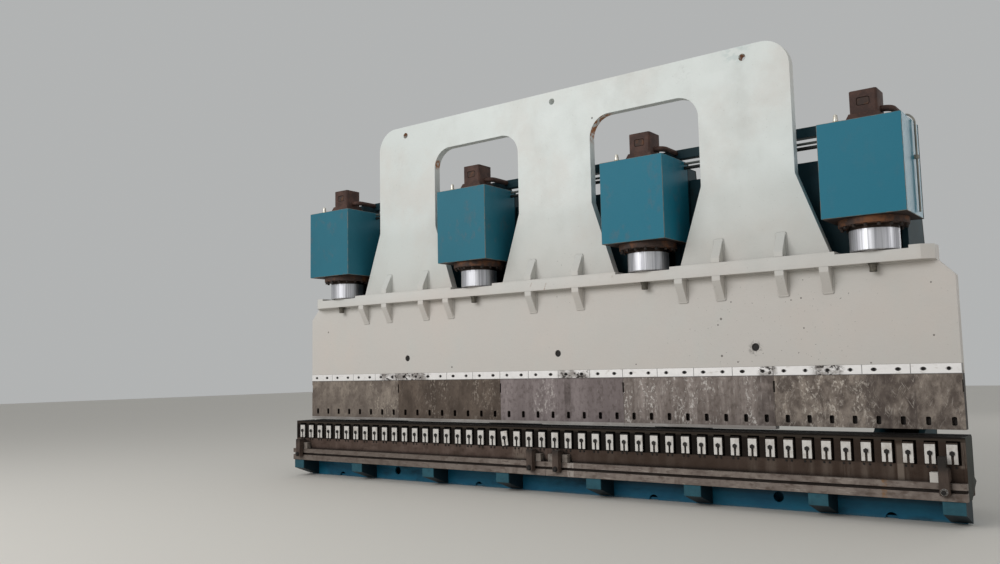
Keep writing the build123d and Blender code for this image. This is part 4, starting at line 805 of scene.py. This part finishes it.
def holder_steel(name, dark, light, cloud, upright, scuff, scuffs_at, leans, shift, foot=0.0, dark_at=()):
    """One plate's rolled steel, in clouds of two tones.

    Scuffs and dark stains lie at places along X, each with its reach. Rubbed lines lean by so many degrees.
    The share foot darkens the plate towards its lower edge.
    """
    material, tree = new_tree(name)
    clouds = patches(tree, cloud, 0.35, 0.68, stretch=(1, 1, upright), shift=shift)
    columns = patches(tree, 0.16, 0.42, 0.6, stretch=(1, 1, 0.04), shift=shift + 2, detail=2)
    mottle = patches(tree, 0.045, 0.45, 0.68, stretch=(1, 1, 0.7), shift=shift + 3, detail=8)
    layers = [(clouds, light), (columns, dark, 0.3), (mottle, "#3d322b", 0.4),
              (band(tree, "Z", slots_z + 0.45, slots_z), dark, foot)]
    for at_x, reach in dark_at:
        stain = where(tree, strip(tree, "X", at_x - reach / 2, at_x + reach / 2, reach / 3),
                      patches(tree, 0.15, 0.3, 0.6, shift=shift + 1))
        layers.append((stain, "#3f3430", 0.6))
    rubbed = patches(tree, 0.22, 0.42, 0.62, stretch=(1, 1, 0.8), shift=shift + 5)
    for lean in leans:
        lines = where(tree, marks(tree, 0.022, 0.15, lean, 0.58, 0.70, shift + lean / 10), rubbed)
        layers.append((lines, scuff, 0.45))
    scuffed = where(tree, patches(tree, 0.45, 0.5, 0.7, shift=shift + 6), 0.35)
    for at_x, reach in scuffs_at:
        scuffed = either(tree, scuffed, strip(tree, "X", at_x - reach / 2, at_x + reach / 2, reach / 2))
    flakes = where(tree, marks(tree, 0.035, 0.07, 0, 0.49, 0.60, shift + 9),
                   patches(tree, 0.12, 0.40, 0.60, stretch=(1, 1, 0.4), shift=shift + 8),
                   patches(tree, 0.03, 0.38, 0.55, shift=shift + 10), scuffed)
    layers.append((flakes, scuff, 0.75))
    # Painted shade on the faces inside the slots, and in the corners.
    slot_shade = where(tree, strip(tree, "Y", -0.05, 0.05, 0.006),
                     band(tree, "Z", slots_z + 0.7, slots_z + 0.55), 0.9)
    recess_shade = either(tree, slot_shade, where(tree, occlusion_shade(tree, 0.03), 0.7))
    layers.append((recess_shade, "#1c1614"))
    dulled = add(tree, "ShaderNodeMapRange", {"Value": mottle, "To Min": 0.52, "To Max": 0.62})
    close_tree(tree, Base_Color=coats(tree, dark, *layers), Metallic=0.25,
               Roughness=dulled.outputs["Result"], Specular_IOR_Level=0.4,
               Normal=grain(tree, 0.02, 0.0004, shift=shift))
    return material


# Each plate's mill scale has worn in its own way: patchy grey, brown, smooth and violet grey, streaked,
# and scratched all over. The scuffs are drawn coarser than the real ones, so that they show.
patchy_steel = holder_steel("patchy_rolled_steel", "#6b6058", "#9a8e82", 0.24, 0.8, "#b5aa9c",
                            ((-3.2, 0.6),), (70,), 3, foot=0.45)
brown_steel = holder_steel("brown_rolled_steel", "#493d34", "#6d5f54", 0.30, 0.5, "#a0958a",
                           ((-2.2, 0.3), (-1.3, 0.35)), (25, -40), 21, foot=0.2)
smooth_steel = holder_steel("smooth_rolled_steel", "#756a69", "#908584", 0.35, 0.15, "#c6bfba",
                            ((-0.22, 0.25),), (0,), 37, dark_at=((0.14, 0.08),))
streaked_steel = holder_steel("streaked_rolled_steel", "#70655f", "#9a8f89", 0.14, 0.15, "#dcd7d1",
                              ((1.05, 0.16), (1.35, 0.16), (1.98, 0.50), (2.72, 0.10)), (0, 3), 52,
                              dark_at=((2.9, 0.16),))
scratched_steel = holder_steel("scratched_rolled_steel", "#5b5049", "#978b80", 0.13, 0.7, "#cfc6bb",
                               ((3.35, 0.35), (3.75, 0.45)), (28, -35, 8), 68,
                               dark_at=((4.15, 0.22), (4.5, 0.06)))
# Worn edges: rubbed half bright, with brown left in the low spots.
worn_steel, tree = new_tree("worn_steel_edge")
tone = coats(tree, "#4a3f36", (patches(tree, 0.08, 0.35, 0.6), "#8f877d"))
close_tree(tree, Base_Color=tone, Metallic=0.7, Roughness=0.45)
holder_steels = (patchy_steel, brown_steel, smooth_steel, streaked_steel, scratched_steel)
for number, steel in enumerate(holder_steels, start=1):
    eased(f"tool_holder_{number}", 0.003, steel, worn_steel)
# Ground steel that has dulled to a soft grey.
lip_steel, tree = new_tree("dull_ground_steel")
tone = coats(tree, "#b3afab", (patches(tree, 0.25, 0.35, 0.65, stretch=(0.5, 1, 1)), "#948d88"))
close_tree(tree, Base_Color=tone, Metallic=0.3, Roughness=0.45)
eased("lip_bars", 0.002, lip_steel)

# Piston rods: each turned in one piece with its piston, on a thrust pad, with two bolts from below.
# Forged steel under hard chrome, ground round, with rubber seals, ground pads and bought bolts.

# Hard chrome: bright, with grey streaks and thin dark lines along it, and a dark brown band under the ring,
# painted as the ring's shadow and reflection.
hard_chrome, tree = new_tree("hard_chrome")
ring_bottom_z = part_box("gland_rings")[0].z
broad = patches(tree, 0.09, 0.42, 0.60, stretch=(1, 1, 0.02), detail=2)
fine = patches(tree, 0.022, 0.45, 0.62, stretch=(1, 1, 0.02), shift=3, detail=3)
thin_lines = marks(tree, 0.010, 3.0, 0, 0.57, 0.64, shift=5)
tone = coats(tree, "#dedee2", (broad, "#adadb3", 0.4),
             (fine, "#77777e", 0.4),
             (thin_lines, "#4c4c52", 0.5),
             (strip(tree, "Z", ring_bottom_z - 0.045, ring_bottom_z, 0.006), "#3c332e"))
dulled = add(tree, "ShaderNodeMapRange", {"Value": broad, "To Min": 0.42, "To Max": 0.50})
close_tree(tree, Base_Color=tone, Metallic=1.0, Roughness=dulled.outputs["Result"])
for number in range(1, cylinder_count + 1):
    dress(f"piston_rod_{number}", hard_chrome)
# Moulded nitrile rubber: black and matt.
seal_rubber, tree = new_tree("black_seal_rubber")
tone = coats(tree, "#141414", (patches(tree, 0.05, 0.4, 0.7), "#242322"))
close_tree(tree, Base_Color=tone, Roughness=0.7)
for name in ("piston_seals", "rod_seals"):
    dress(name, seal_rubber)
eased("thrust_pads", 0.002, ground_plate)
# Rod bolts: zinc gone dull and grey brown.
dull_bolt, tree = new_tree("dull_bolt_steel")
tone = coats(tree, "#4e4a42", (patches(tree, 0.03, 0.4, 0.7), "#6a655b"))
close_tree(tree, Base_Color=tone, Metallic=0.4, Roughness=0.55)
eased("rod_bolts", 0.003, dull_bolt)

# Guide rails: bars on the back of the ram that run in the grooves of the guide blocks.
# Ground bright steel with a film of oil, screwed to the ram plate.
eased("guide_rails", 0.002, ground_plate)
